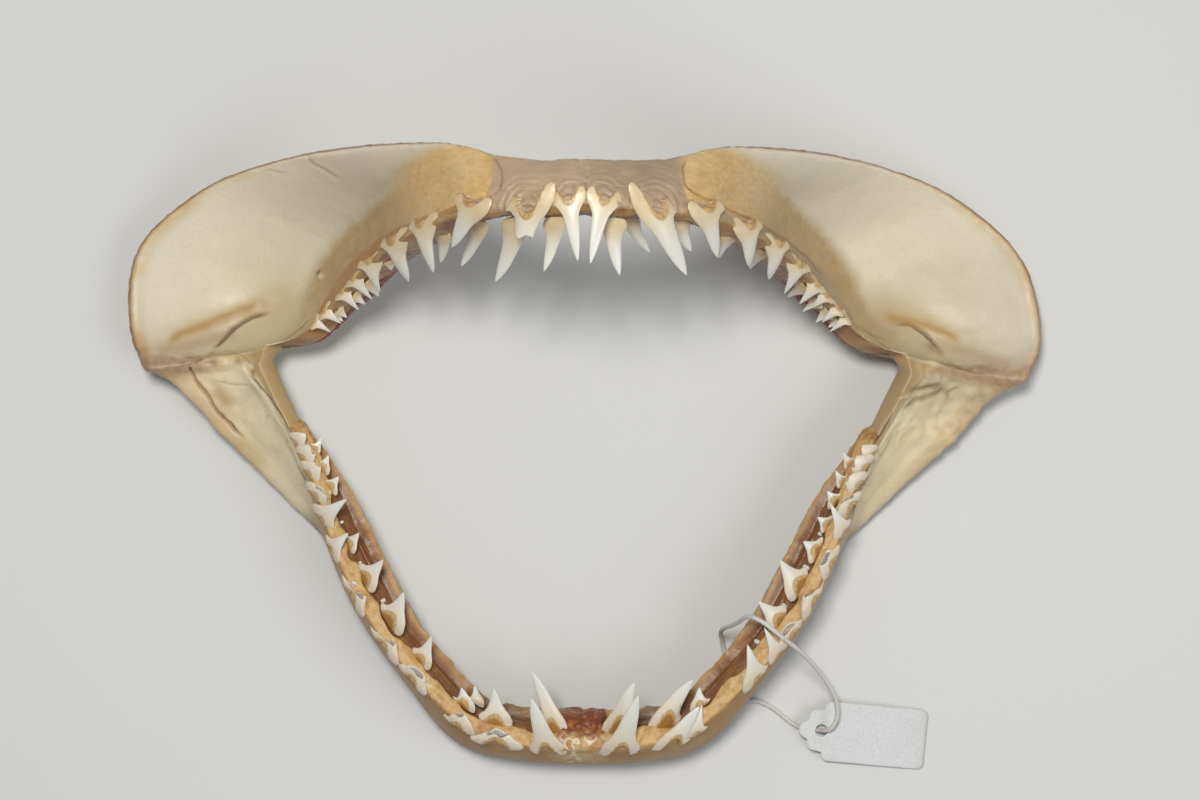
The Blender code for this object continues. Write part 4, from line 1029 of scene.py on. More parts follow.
def near_teeth(points, bar, teeth):
    """How near each place is to the middle of a tooth's root, and to the rim of gum round it."""
    nearness = np.zeros(points.shape[:-1])
    rim = np.zeros(points.shape[:-1])
    for tooth in teeth:
        root = bar.root_place(bar.section_at(np.array([tooth.along])), tooth.row)[0]
        away = np.linalg.norm(points - root, axis=-1) / (0.5 * tooth.width)
        nearness = np.maximum(nearness, ramp(away, 2.0, 0.6))
        rim = np.maximum(rim, bump(away, 1.25, 0.55) * min(tooth.length / LONG_TOOTH, 1.0))
    return nearness, rim


def upper_gum_look(own, at, across, near, rim):
    """Colour, depth and roughness of the upper gum."""
    patchy = rough_noise(own, 7.0, 61.0)
    fine = rough_noise(own, 1.6, 62.0)
    front = ramp(at, 3.0, 2.3)
    pocket = mix(ORANGE, RED_BROWN, ramp(patchy + fine * 0.4, -0.1, 0.5))
    gold = mix(FRINGE, YELLOW_TAN, ramp(fine, -0.3, 0.4))
    back = mix(RED_BROWN * 1.3, GUM_GREY * 0.7, ramp(patchy, -0.3, 0.5))
    colour = layered(
        TAN,
        (YELLOW_TAN, ramp(patchy, -0.2, 0.6)),
        (GUM_PINK, front),
        (GUM_GREY, front * ramp(patchy, 0.0, 0.7) * 0.5),
        (mix(pocket, gold, near * 0.6), ramp(across, 1.25, 1.9)),
        (back, ramp(across, 2.6, 3.2)))
    wrinkles = stretched_noise(own, (1.6, 0.6, 0.6), 3.4, 63.0, rough_noise)
    depth = 0.4 * wrinkles * ramp(across, 0.15, 0.8) - 0.5 * rim * ramp(across, 1.0, 1.8)
    depth += 0.4 * rough_noise(own, 2.0, 64.0) * ramp(across, 1.8, 2.6)
    return shaded(colour, 1.0 + 0.1 * fine), depth, 0.5 - 0.12 * ramp(across, 1.3, 2.0)


def lengthwise(at, across, size, seed):
    """Noise in long strands that follow the jaw: place along it and place across the gum."""
    return value_noise(np.stack((at * 1.6, across * 4.0, 0.0 * across), -1), size, seed)


def symphysis_colour(own, across):
    """Red-brown tissue on top, and yellow plates with whitish cracks between them in front."""
    plates = rough_noise(own, 5.0, 55.0, 2)
    cracks = np.abs(rough_noise(own, 4.2, 56.0, 2))
    fine = rough_noise(own, 1.5, 57.0)
    top = mix(RED_BROWN * 1.2, ORANGE, ramp(fine + 0.6 * plates, -0.1, 0.6))
    return layered(
        YELLOW_TAN,
        (ORANGE * 1.1, ramp(plates + 0.3 * fine, -0.2, 0.5)),
        (CREAM * 1.05, ramp(cracks, 0.10, 0.02) * 0.8),
        (top, ramp(across + 0.6 * plates + 0.2 * fine, 2.5, 3.2)))


def lower_gum_look(own, at, across, near, rim):
    """Colour, depth and roughness of the lower gum."""
    patchy = rough_noise(own, 8.0, 71.0)
    fine = rough_noise(own, 1.8, 72.0)
    streak = lengthwise(at, across, 1.0, 73.0)
    strands = lengthwise(at, across, 0.45, 80.0)
    gold = layered(FRINGE,
                   (YELLOW_TAN * 1.1, ramp(fine, -0.4, 0.4)),
                   (ORANGE * 1.1, ramp(patchy + 0.3 * fine, 0.0, 0.5) * 0.8),
                   (CREAM * 0.95, ramp(rough_noise(own, 3.2, 87.0), 0.42, 0.7) * 0.7))
    trough = layered(AMBER,
                     (RED_BROWN, ramp(patchy + 0.5 * streak, 0.0, 0.8) * 0.6),
                     (ORANGE * 0.9, ramp(0.4 * patchy - streak, 0.2, 0.9) * 0.7))
    ribbon = layered(GUM_PINK * 0.9,
                     (YELLOW_TAN, ramp(patchy + 0.5 * streak, -0.4, 0.6)),
                     (CREAM * 0.8, ramp(strands, 0.45, 0.8) * 0.6))
    lip = BACK_LIP + 0.2 * lengthwise(at, across * 0.0, 0.9, 76.0)
    shore = TROUGH_SHORE + 0.3 * value_noise(own, 5.0, 79.0)
    hollow = ramp(across, shore, shore + 0.35) * ramp(across, lip, lip - 0.3)
    beside = ramp(at + 0.1 * patchy, 0.36, 0.5)
    centre = ramp(beside + 0.35 * fine + 0.3 * patchy, 1.0, 0.1)
    membrane = bump(at, MEMBRANE_AT, 1.3) * ramp(across, 3.2, 4.2)
    pocket = ramp(near, 0.3, 0.0) * ramp(across, 0.9, 1.5) * ramp(across, 3.2, 2.8)
    colour = layered(
        BAND,
        (WARM_CREAM * 0.9, ramp(patchy, -0.4, 0.5) * 0.6),
        (gold, ramp(across, 1.0, 1.5)),
        (trough, ramp(hollow, 0.1, 0.6)),
        (ribbon, ramp(across, lip - 0.06, lip + 0.06)),
        (TAN * 0.9, ramp(across, 5.2, 5.8)),
        (ORANGE * 0.8, bump(across, lip - 0.1, 0.1) * 0.6),
        (mix(GUM_GREY * 0.55, DARK, ramp(fine, -0.2, 0.5)), membrane * 0.85),
        (ORANGE * 0.85, pocket * ramp(fine + patchy, -0.3, 0.4) * 0.75),
        (symphysis_colour(own, across), centre))
    depth = TROUGH_DEPTH * hollow * beside - 0.5 * rim * ramp(across, 0.9, 1.6) * (1.0 - hollow)
    depth += 0.75 * rough_noise(own, 3.4, 74.0) * ramp(across, 1.0, 2.0) * (1.0 - 0.7 * hollow)
    depth += 0.3 * streak * ramp(across, 3.4, 4.0) + 0.12 * strands * ramp(across, 3.4, 4.0)
    depth += membrane * (1.4 * rough_noise(own, 5.0, 77.0) + 0.6 * fine)
    depth += (1.0 - beside) * (0.9 * rough_noise(own, 4.0, 78.0) - 0.4)
    return shaded(colour, 1.0 + 0.08 * fine), depth, 0.48 - 0.2 * hollow + 0.08 * fine


def add_gum(name, jaw, side, teeth):
    """Band of gum along the tooth edge; its outer foot wears the cartilage's own look."""
    bar, look = jaw.bar, jaw.look
    points, at, across = gum_grid(bar)
    own = mirrored(points, side)
    normals = outward_normals(points)
    near, rim = near_teeth(points, bar, teeth)
    colour, depth, rough = jaw.gum_look(own, at, across, near, rim)
    edge, length, upward, _, _ = bar.frame(at)
    part = np.clip(-np.sum((points - edge) * upward, axis=-1) / length, 0.0, 1.0)
    seen = np.ones_like(part)
    under = ramp(across, 1.1, 0.1)
    colour = mix(colour, look.colour(own, at, part, seen), under)
    depth = depth * (1.0 - under) + look.relief(own, at, part, seen) * under
    depth = depth - fold_height(points, at, bar, teeth) * ramp(across, 2.4, 1.2)
    pixels = in_photo(to_metres(points, side))
    colour, mark_depth = apply_marks(pixels, ramp(across, 3.0, 2.0), colour)
    points = points - normals * (depth + mark_depth)[..., None]
    item = add_mesh(f"{name}_gum", to_metres(points, side))
    paint(item, colour, rough)
    upright = (across > 1.0) & (across < 4.6)
    return item, points[upright], normals[upright]


# ---------------------------------------------------------------- teeth

# Share of the way from the root's lobes to the tip, then half width and half thickness as
# shares of half the width of the root.
BLADE = ((0.0, 0.74, 0.20), (0.05, 0.93, 0.30), (0.12, 1.0, 0.37), (0.20, 0.94, 0.40),
         (0.28, 0.76, 0.39), (0.36, 0.62, 0.37), (0.46, 0.52, 0.34), (0.58, 0.45, 0.30),
         (0.70, 0.38, 0.25), (0.82, 0.28, 0.19), (0.92, 0.16, 0.12), (0.98, 0.06, 0.05),
         (1.0, 0.015, 0.015))
SHORT_BLADE = ((0.0, 0.78, 0.20), (0.08, 0.97, 0.28), (0.18, 1.0, 0.32), (0.28, 0.84, 0.32),
               (0.38, 0.60, 0.30), (0.50, 0.43, 0.26), (0.64, 0.31, 0.21), (0.78, 0.21, 0.16),
               (0.90, 0.12, 0.10), (0.97, 0.05, 0.05), (1.0, 0.015, 0.015))
LONG_TOOTH = 14.0           # mm from which a tooth has the long blade
FINE_TOOTH = 10.0           # mm over which it has the finer grid, of rows and columns
FINE_GRID = (68, 64)
PLAIN_GRID = (42, 40)
AXIS_POINTS = 120
FULL_ROOT = 18.0            # mm of length from which a tooth shows all of its root
LABIAL = 0.62               # flatness of the outer side of a tooth
ARCH_WIDE = 0.62            # half width of the gum between a root's two lobes
ARCH_HIGH = {"front": 0.70, "side": 0.36}
COMB_WIDE = 1.7             # mm of golden comb along the edge of that gum
LOBE_AT = 0.76              # where across the root its lobes' peaks are
LOBE_WIDE = 0.36
SUNK = 2.3                  # mm that a root sinks where gum covers it
FRONT_TEETH = 36.0          # teeth nearer the middle than this have tall narrow roots
SIDE_WIDER = 0.25           # roots of the upper side teeth are this much wider than the solids'
ROOT_SHOWN = {"upper": 3.0, "lower": 2.6}   # mm of root that shows on the outside of the gum
ROOT_SUNK = 0.1
# mm that a root's middle passes in front of the gum's lip, on the front and on the side teeth.
ROOT_OVER_LIP = {"upper": (1.2, 2.6), "lower": (1.2, 1.2)}
ROOT_LEAN = 0.4             # share of a side tooth's lean by which its root is turned too
TURNED_FROM = (26.0, 44.0)
ROOT_TURN = 2.2             # mm over the lip at which a root turns towards its crown
ROOT_SHIFT = 0.2            # a leaning tooth's root is nearer the middle by this share of its lean
FLARE = {"upper": 0.36, "lower": 0.08}      # widening of the outer teeth's roots
ROOT_ENDS = (0.42, 0.14)    # shares of a tooth's length between which its root turns to enamel
GOLDEN = 0.618              # steps that spread the broken roots' lengths evenly
CLOSING = (0.04, 0.4, 0.8)  # widths of the rings that close a root's end
INNER_ROOT = 1.6            # mm of root under the gum of the inner rows
INWARD_BEND = 0.10
STUB_LENGTH = 8.2           # lower teeth of the first row shorter than this are broken roots
STUB_FORM = (11.0, 1.25, 0.40)  # their whole length in mm, widening and share that is left

# The upper front tooth whose crown broke off: its root stands nearer the middle of its socket.
BROKEN_TOOTH = ("upper", "right", 2)
BROKEN_FORM = Tooth(20.0, 1, 22.0, 14.5, 38)
BREAK = 0.53                # share of its length that is left
BREAK_RINGS = 12            # rings down inside a break
BREAK_ROUGH = 0.6


def root_shown(jaw, tooth):
    """Length in mm of the root that shows on the outside of the gum."""
    return ROOT_SHOWN[jaw] * min(tooth.length / FULL_ROOT, 1.0)


class Axis:
    """The curved middle of a tooth, from the peaks of its root to its tip."""

    def __init__(self, jaw, tooth):
        bar = jaw.bar
        at = bar.section_at(np.array([tooth.along]))
        _, across, upward, self.inward, along = (value[0] for value in bar.frame(at))
        tilt, lean = math.radians(bar.rows[tooth.row].tilt), math.radians(tooth.lean)
        self.rise = upward * math.cos(tilt) + self.inward * math.sin(tilt)
        self.along = unit(along - self.rise * (along @ self.rise))
        through = unit(np.cross(self.rise, self.along))
        self.through = through * np.sign(through @ self.inward)
        root = bar.root_place(at, tooth.row)[0]
        tip = root + (self.rise * math.cos(lean) + self.along * math.sin(lean)) * tooth.length
        if tooth.row == 1:
            base, guide = self.outer_root(jaw, tooth, at, root_shown(jaw.name, tooth) / across)
            shift = self.along * (self.along @ (tip - root)) * ROOT_SHIFT
            base, guide = base - shift, guide - shift * 0.6
        else:
            base, guide = self.inner_root(tooth, root, tip)
        share = np.linspace(0.0, 1.0, AXIS_POINTS)[:, None]
        self.line = (base * (1.0 - share) ** 2 + guide * 2.0 * share * (1.0 - share)
                     + tip * share ** 2)
        self.heading = np.gradient(self.line, axis=0)
        run = distances(self.line)
        self.length = run[-1]
        self.shares = run / run[-1]
        turned = lean * ROOT_LEAN * ramp(tooth.along, *TURNED_FROM) * (jaw.name == "upper")
        self.along = self.along * math.cos(turned) - self.rise * math.sin(turned)

    @staticmethod
    def outer_root(jaw, tooth, at, shown):
        """Peaks of a root on the outer face, and the point over the lip that it bends towards."""
        lip = jaw.bar.outer_face(at, np.full_like(at, LIP))
        face = jaw.bar.outer_face(at, np.full_like(at, LIP + shown))
        proud = np.interp(tooth.along, TURNED_FROM, ROOT_OVER_LIP[jaw.name])
        return (jaw.bar.place(at, face[0] + ROOT_SUNK, face[1])[0],
                jaw.bar.place(at, lip[0] - proud, lip[1] + ROOT_TURN)[0])

    def inner_root(self, tooth, root, tip):
        """Peaks of a root in the gum, and the point inwards that its crown bends towards."""
        base = root - self.rise * INNER_ROOT
        way = tip - base
        guide = base + self.rise * (way @ self.rise) * 0.5 + self.along * (way @ self.along) * 0.35
        return base, guide + self.through * INWARD_BEND * tooth.length

    def place(self, x, reach, depth):
        """Point at x mm across, a share along and depth mm inwards from the axis."""
        middle = points_at(self.line, self.shares, reach)
        heading = unit(points_at(self.heading, self.shares, reach))
        through = mix(np.broadcast_to(self.inward, middle.shape), self.through,
                      ramp(reach, 0.0, 0.4))
        through = unit(through - heading * np.sum(heading * through, axis=-1, keepdims=True))
        square = np.cross(through, heading)
        square = square * np.sign(np.sum(square * self.along, axis=-1, keepdims=True))
        flat = np.broadcast_to(self.along, square.shape)
        across = unit(mix(flat, square, ramp(reach, 0.08, 0.42)))
        return middle + across * x[..., None] + through * depth[..., None]


def tooth_form(jaw, side_name, tooth, number):
    """The tooth as it is drawn, the share of it that is left, and what its break shows."""
    if (jaw, side_name, number) == BROKEN_TOOTH:
        return BROKEN_FORM, BREAK, RED_BROWN
    if jaw == "lower" and tooth.row == 1 and tooth.length < STUB_LENGTH:
        length, wider, left = STUB_FORM
        left = left * (0.9 + 0.2 * ((number * GOLDEN) % 1.0))
        return tooth._replace(length=length, width=tooth.width * wider), left, PULP
    if jaw == "upper":
        wider = 1.0 + SIDE_WIDER * ramp(tooth.along, 34.0, 60.0) * (1.0 if tooth.row == 1 else 0.5)
        return tooth._replace(width=tooth.width * wider), 1.0, None
    return tooth, 1.0, None


def root_masks(jaw, tooth, x, rise_mm):
    """How far inside the arch of gum each place is, in mm, and how far over the lobes' tops."""
    half = 0.5 * tooth.width * (1.0 + FLARE[jaw])
    kind = "front" if tooth.along < FRONT_TEETH and tooth.length > LONG_TOOTH else "side"
    arch_high = ARCH_HIGH[kind] * tooth.width
    inside = arch_high * (1.0 - (np.abs(x) / (half * ARCH_WIDE)) ** 2.0) - rise_mm
    slope = np.minimum(((np.abs(x) / half - LOBE_AT) / LOBE_WIDE) ** 2, 1.0)
    return inside, root_shown(jaw, tooth) * slope - rise_mm


def tooth_section(jaw, tooth, reach, turn):
    """Places across and inwards, in mm, of a tooth's outline at each share of its length."""
    table = np.array(BLADE if tooth.length > LONG_TOOTH else SHORT_BLADE)
    half = 0.5 * tooth.width
    flare = 1.0 + FLARE[jaw] * ramp(reach, 0.42, 0.16) if tooth.row == 1 else 1.0
    x = np.cos(turn) * np.interp(reach, table[:, 0], table[:, 1]) * half * flare
    sine = np.sin(turn)
    depth = np.sign(sine) * np.abs(sine) ** 1.1 * np.interp(reach, table[:, 0], table[:, 2]) * half
    return x, depth * np.where(sine < 0.0, LABIAL, 1.0)


def add_tooth(name, jaw, side_name, tooth, number):
    """One tooth: a slim blade on a root with two lobes, and the gum that hangs between them."""
    tooth, top, pulp = tooth_form(jaw.name, side_name, tooth, number)
    rows, columns = FINE_GRID if tooth.length > FINE_TOOTH else PLAIN_GRID
    axis = Axis(jaw, tooth)
    reach = top * np.linspace(0.0, 1.0, rows)[:, None]
    turn = full_turn(columns)
    x, depth = tooth_section(jaw.name, tooth, reach, turn)
    if pulp is not None:
        ragged = value_noise(np.stack((x, depth, 0.0 * x + number), -1), 2.6, 85.0)
        reach = reach + 0.07 * ragged * ramp(reach, 0.3 * top, top)
    reach = reach + 0.0 * turn
    points = axis.place(x, reach, depth)
    own = mirrored(points, SIDES[side_name]) + number * 17.0
    arched = tooth.row == 1 or (jaw.name == "lower" and tooth.row == 2)
    labial = ramp(np.sin(turn), 0.15, -0.15) * (1.0 if arched else 0.0)
    inside, over = root_masks(jaw.name, tooth, x, reach * axis.length)
    comb = np.sin(x * 6.5 + value_noise(own, 2.0, 86.0)) * ramp(inside, -0.3, 0.3)
    tissue = ramp(inside, -0.2, 0.2) * labial
    rooted = ramp(reach, *ROOT_ENDS)
    covered = np.maximum(ramp(inside, COMB_WIDE, COMB_WIDE + 1.0), ramp(over, 0.0, 1.0)) * labial
    covered = covered * (1.0 if tooth.row == 1 else 0.0)
    pores = 0.08 * rough_noise(own, 1.2, 81.0) * rooted
    swell = tissue * (0.14 + 0.14 * comb) + pores - SUNK * covered
    points = points + outward_normals(points) * swell[..., None]
    golden = mix(FRINGE * 1.1, YELLOW_TAN * 0.8, 0.5 - 0.5 * comb)
    golden = mix(golden, GUM_PINK if jaw.name == "upper" else BAND,
                 ramp(inside, 1.0, COMB_WIDE + 0.6))
    colour = layered(
        tooth_colour(jaw.name, own, reach, rooted),
        (golden, tissue),
        # painted shade: a dark line, orange on the upper teeth, where the gum between the lobes meets
        # the root
        (DARK * 1.5 if jaw.name == "lower" else ORANGE, bump(inside, -0.15, 0.4) * labial * 0.55),
        # painted shade: orange where the lobes go under the gum
        (ORANGE, bump(over, 0.1, 0.7) * labial * rooted * 0.6))
    rough = 0.2 + 0.3 * rooted + 0.3 * tissue
    if pulp is not None:
        points, colour, rough = hollow_break(points, colour, rough, pulp)
    points, colour, rough = closed_root(points, colour, rough, axis.inward)
    item = add_mesh(name, to_metres(points, SIDES[side_name]))
    paint(item, colour, rough)
    return item


def tooth_colour(jaw, own, reach, rooted):
    """Enamel, warmer towards the root, and the root's own colour."""
    fine = value_noise(own, 2.4, 82.0)
    colour = mix(np.broadcast_to(ENAMEL, own.shape), ENAMEL_WARM, ramp(reach, 0.75, 0.25))
    root_colour = ROOT if jaw == "upper" else ROOT_PINK
    return mix(colour, root_colour, rooted * (0.75 + 0.25 * fine))


def closed_root(points, colour, rough, inward):
    """Adds rings that close the root's end, in the gum."""
    shares = np.array(CLOSING)[:, None, None]
    middle = points[:1].mean(axis=1, keepdims=True) + inward * SUNK
    rings = middle + (points[:1] - middle) * shares
    repeated = len(CLOSING)
    return (np.concatenate((rings, points)), np.concatenate((colour[:1],) * repeated + (colour,)),
            np.concatenate((rough[:1],) * repeated + (rough,)))


def hollow_break(points, colour, rough, pulp):
    """Adds rings that run down inside a broken crown, to its pulp."""
    shares = np.concatenate((np.linspace(0.9, 0.1, BREAK_RINGS), [0.03]))[:, None, None]
    last = points[-1:]
    middle = last.mean(axis=1, keepdims=True)
    below = points[-BREAK_RINGS:1 - BREAK_RINGS].mean(axis=1, keepdims=True)
    rings = middle + (last - middle) * shares + (below - middle) * ramp(shares, 0.86, 0.3) * 1.2
    inner = layered(np.broadcast_to(pulp, rings.shape),
                    # painted shade: the pulp darkens deeper in the hollow
                    (pulp * 0.7, ramp(shares[..., 0], 0.6, 0.2)),
                    (colour[-1:], ramp(shares[..., 0], 0.66, 0.86)))
    return (np.concatenate((points, rings)), np.concatenate((colour, inner)),
            np.concatenate((rough, np.full(rings.shape[:2], BREAK_ROUGH))))


# White chips of broken and young teeth in the lower gum: pixel X and Y, and size in mm.
CHIPS = {
    "left": ((806, 568, 2.6), (784, 606, 2.3), (758, 642, 2.8), (753, 652, 2.0), (820, 534, 2.2)),
    "right": ((383, 601, 2.4), (359, 563, 2.2), (341, 522, 1.9)),
}
CHIP_RINGS = 9
CHIP_COLUMNS = 14
CHIP_POLE = 0.06            # turn, in radians, of the first ring
CHIP_SQUARE = 0.7           # under 1, a chip is blockier than an egg
CHIP_SHAPE = (1.0, 0.62, 0.55)
CHIP_ALONG = (0.4, 1.0, 0.2)
CHIP_ROUGH = 0.35


def add_chip(name, pixel, size, skin, side):
    """A chip of tooth that sits on the gum where the photograph shows it."""
    places, normals = skin
    away = np.linalg.norm(in_photo(to_metres(places, side)) - np.array(pixel, float), axis=-1)
    nearest = int(np.argmin(away))
    out = normals[nearest]
    first = unit(np.cross(out, CHIP_ALONG))
    second = np.cross(out, first)
    polar = np.linspace(CHIP_POLE, np.pi - CHIP_POLE, CHIP_RINGS)[:, None]
    turn = full_turn(CHIP_COLUMNS)
    high = np.cos(polar) + 0.0 * turn
    shape = np.stack((np.sin(polar) * np.cos(turn), np.sin(polar) * np.sin(turn), high), -1)
    shape = np.sign(shape) * np.abs(shape) ** CHIP_SQUARE
    shape = shaded(shape, 1.0 + 0.3 * value_noise(shape + pixel[0], 0.9, 88.0))
    shape = shape * 0.5 * size * np.array(CHIP_SHAPE)
    points = places[nearest] + (first * shape[..., :1] + second * shape[..., 1:2]
                                + out * shape[..., 2:])
    item = add_mesh(name, to_metres(points, side))
    paint(item, mix(ENAMEL, ENAMEL_WARM, ramp(high, 0.6, -0.6)), CHIP_ROUGH + 0.0 * high)
    return item


def add_teeth(jaw, side_name, tissue, enamel):
    """Gum, chips and teeth of one side of one jaw, joined."""
    name = f"{jaw.name}_teeth_{side_name}"
    side = SIDES[side_name]
    teeth = jaw.teeth[side_name]
    gum, *skin = add_gum(name, jaw, side, teeth)
    gum.data.materials.append(tissue)
    chips = CHIPS[side_name] if jaw.name == "lower" else ()
    items = [add_chip(f"{name}_chip_{x}", (x, y), size, skin, side) for x, y, size in chips]
    items += [add_tooth(f"{name}_{number}", jaw, side_name, tooth, number)
              for number, tooth in enumerate(teeth)]
    for item in items:
        item.data.materials.append(enamel)
    finish(join(name, [gum] + items), None, name)


# ---------------------------------------------------------------- tag and string

TAG_SIZE = (49.5, 23.0, 0.6)
TAG_MIDDLE = (107.9, -104.9)
TAG_TURN = -5.0
TAG_LIFT = 4.6              # degrees, where the string holds the hole's end up
TAG_HOLE = 4.8
TAG_HOLE_INSET = 8.7
TAG_SHOULDER = 12.0         # length of the scalloped end
TAG_CORNER = 2.6
TAG_LOBE_ARCS = ((90.0, 190.0), (80.0, 200.0), (110.0, 250.0), (160.0, 280.0), (170.0, 270.0))
TAG_WARP = 0.22             # mm that the card's long edges wave, and the length of that wave
TAG_WAVE = 9.0
TAG_SOFT = 0.12             # mm that its edges are worn round
ARC_POINTS = 16
TAG_RINGS = 26
TAG_OUTLINE_STEP = 0.35     # mm between points of the card's outline
STRING_DIAMETER = 1.7
KNOT_SIZE = (4.2, 3.6, 3.2)
KNOT_MIDDLE = (56.6, -82.6, 1.8)
KNOT_TURNS = 3.0
KNOT_ROWS = 420
KNOT_SQUEEZE = 0.42         # radius of its strand, as a share of the string's diameter
KNOT_LAY = 0.66             # turns that its strand winds over for each turn that it winds round
KNOT_ACROSS = (0.31, 0.22, 0.93)
STRING_ROUTE = (
    (56.1, -79.7, 1.6), (54.6, -74.6, 2.2), (53.4, -69.8, 4.6), (52.6, -66.0, 10.0),
    (53.5, -63.4, 20.0), (57.0, -60.8, 31.0), (61.1, -57.2, 41.5), (66.0, -58.6, 45.0),
    (73.6, -64.4, 42.0), (82.5, -71.8, 31.5), (90.4, -80.5, 21.0), (96.0, -89.5, 14.0),
    (97.4, -97.0, 10.0), (95.6, -101.6, 8.4), (93.4, -103.1, 6.2), (91.95, -103.5, 3.9),
    (90.3, -103.6, 1.9), (87.4, -103.4, 1.2), (83.6, -102.6, 1.1), (79.3, -100.0, 1.1),
    (73.9, -95.8, 1.1), (68.5, -93.2, 1.1), (63.5, -92.5, 1.1), (59.2, -90.4, 1.1),
    (57.2, -85.2, 1.5),
)
ROUTE_POINTS = 1600
STRING_ROWS = 900
STRING_COLUMNS = 24
STRANDS = 3
TWIST_LENGTH = 7.5          # mm for one turn of the string's strands
GROOVE = 0.07               # depth of the grooves between them, as a share of the radius


def tag_outline():
    """Outline of the card, lengthwise along X: a straight end and a scalloped one."""
    length, width, _ = TAG_SIZE
    right, top = length * 0.5, width * 0.5
    shoulder = -right + TAG_SHOULDER
    arcs = [(right - TAG_CORNER, TAG_CORNER - top, TAG_CORNER, -90.0, 0.0),
            (right - TAG_CORNER, top - TAG_CORNER, TAG_CORNER, 0.0, 90.0)]
    lobes = ((shoulder, top - TAG_CORNER, TAG_CORNER), (shoulder - 5.6, top - 6.6, 3.0),
             (3.4 - right, 0.0, 3.4), (shoulder - 5.6, 6.6 - top, 3.0),
             (shoulder, TAG_CORNER - top, TAG_CORNER))
    arcs += [(*lobe, *arc) for lobe, arc in zip(lobes, TAG_LOBE_ARCS)]
    corners = []
    for x, y, radius, first, last in arcs:
        turns = np.radians(np.linspace(first, last, ARC_POINTS))
        corners.append(np.stack((x + radius * np.cos(turns), y + radius * np.sin(turns)), -1))
    line = np.concatenate(corners)
    line = np.vstack((line, line[:1]))
    run = distances(line)
    count = int(run[-1] / TAG_OUTLINE_STEP)
    return points_at(line, run, np.linspace(0.0, run[-1], count, endpoint=False))


def tag_place(points):
    """Points of the card, in mm from its middle, where it lies, in metres."""
    lift, turn = math.radians(TAG_LIFT), math.radians(TAG_TURN)
    raised = TAG_SIZE[0] * 0.5 * math.sin(lift) + 0.3
    x = points[..., 0] * math.cos(lift) + points[..., 2] * math.sin(lift)
    z = points[..., 2] * math.cos(lift) - points[..., 0] * math.sin(lift)
    y = points[..., 1]
    across = x * math.cos(turn) - y * math.sin(turn) + TAG_MIDDLE[0] - MIDDLE[0]
    along = x * math.sin(turn) + y * math.cos(turn) + TAG_MIDDLE[1] - MIDDLE[1]
    return np.stack((across, along, np.maximum(z + raised, 0.0)), -1) * MM


def add_tag(material):
    """The card: rings from the hole to the outline on top, and back underneath."""
    outline = tag_outline()
    hole = np.array((TAG_HOLE_INSET - TAG_SIZE[0] * 0.5, 0.0))
    turns = np.arctan2(outline[:, 1] - hole[1], outline[:, 0] - hole[0])
    rim = hole + TAG_HOLE * 0.5 * np.stack((np.cos(turns), np.sin(turns)), -1)
    share = np.linspace(0.0, 1.0, TAG_RINGS)[:, None, None]
    flat = rim * (1.0 - share) + outline * share
    warp = TAG_WARP * np.sin(flat[..., 0] / TAG_WAVE) * (flat[..., 1] / (0.5 * TAG_SIZE[1])) ** 2
    warp = warp + TAG_SOFT * value_noise(np.dstack((flat, warp * 0.0)), 12.0, 91.0)
    soft = TAG_SOFT * (np.exp(-(1.0 - share[..., 0]) * 40.0) + np.exp(-share[..., 0] * 40.0))
    top = np.dstack((flat, TAG_SIZE[2] + warp * 0.6 - soft - 0.06))
    base = np.dstack((flat, warp * 0.6 + soft + 0.1))[::-1]
    rings = np.concatenate((top, base))
    rings = np.concatenate((rings, rings[:1]))
    item = add_mesh("tag", tag_place(rings), caps=False)
    grime = rough_noise(rings, 9.0, 92.0)
    worn = np.exp(-np.concatenate((1.0 - share, share, 1.0 - share[:1]))[..., 0] * 26.0)
    colour = mix(np.broadcast_to(CARD_WHITE, rings.shape), CARD_WORN,
                 np.clip(0.25 * grime + 0.5 * worn, 0.0, 1.0))
    paint(item, colour, CARD_ROUGH + 0.05 * grime)
    finish(item, material, "tag")
    return item


def tube(path, side, other, radius):
    """Rings of points round a path, flattened where it touches the floor."""
    turn = full_turn(STRING_COLUMNS)
    points = (path[:, None] + side[:, None] * (np.cos(turn) * radius)[..., None]
              + other[:, None] * (np.sin(turn) * radius)[..., None])
    points[..., 2] = np.maximum(points[..., 2], 0.0)
    return points


def string_path():
    """Points of the string's route, evenly spaced, and its length, in metres."""
    route = smooth_rows(STRING_ROUTE, np.linspace(0.0, len(STRING_ROUTE) - 1.0, ROUTE_POINTS))
    run = distances(route)
    even = points_at(route, run, np.linspace(0.0, run[-1], STRING_ROWS))
    return (even - np.array((*MIDDLE, 0.0))) * MM, run[-1] * MM


def add_string(material):
    """The tag's cotton string: three strands twisted together, along its route."""
    path, length = string_path()
    ahead = unit(np.gradient(path, axis=0))
    sides = []
    side = unit(np.cross(ahead[0], (0.0, 0.0, 1.0)))
    for way in ahead:
        side = unit(side - way * (side @ way))
        sides.append(side)
    sides = np.array(sides)
    turn = full_turn(STRING_COLUMNS)
    run = np.linspace(0.0, length / MM, STRING_ROWS)[:, None]
    strand = np.abs(np.cos(0.5 * STRANDS * (turn - run / TWIST_LENGTH * 2 * np.pi)))
    radius = STRING_DIAMETER * 0.5 * MM * (1.0 - GROOVE + GROOVE * strand ** 0.6)
    points = tube(path, sides, np.cross(ahead, sides), radius)
    item = add_mesh("tag_string", points)
    groove = ramp(strand, 0.6, 0.1)
    # painted shade in the grooves between the strands
    colour = mix(np.broadcast_to(COTTON, points.shape), COTTON_GROOVE_SHADE, groove * 0.45)
    paint(item, colour, COTTON_ROUGH + 0.0 * groove)
    finish(item, material, "tag_string")
    return item


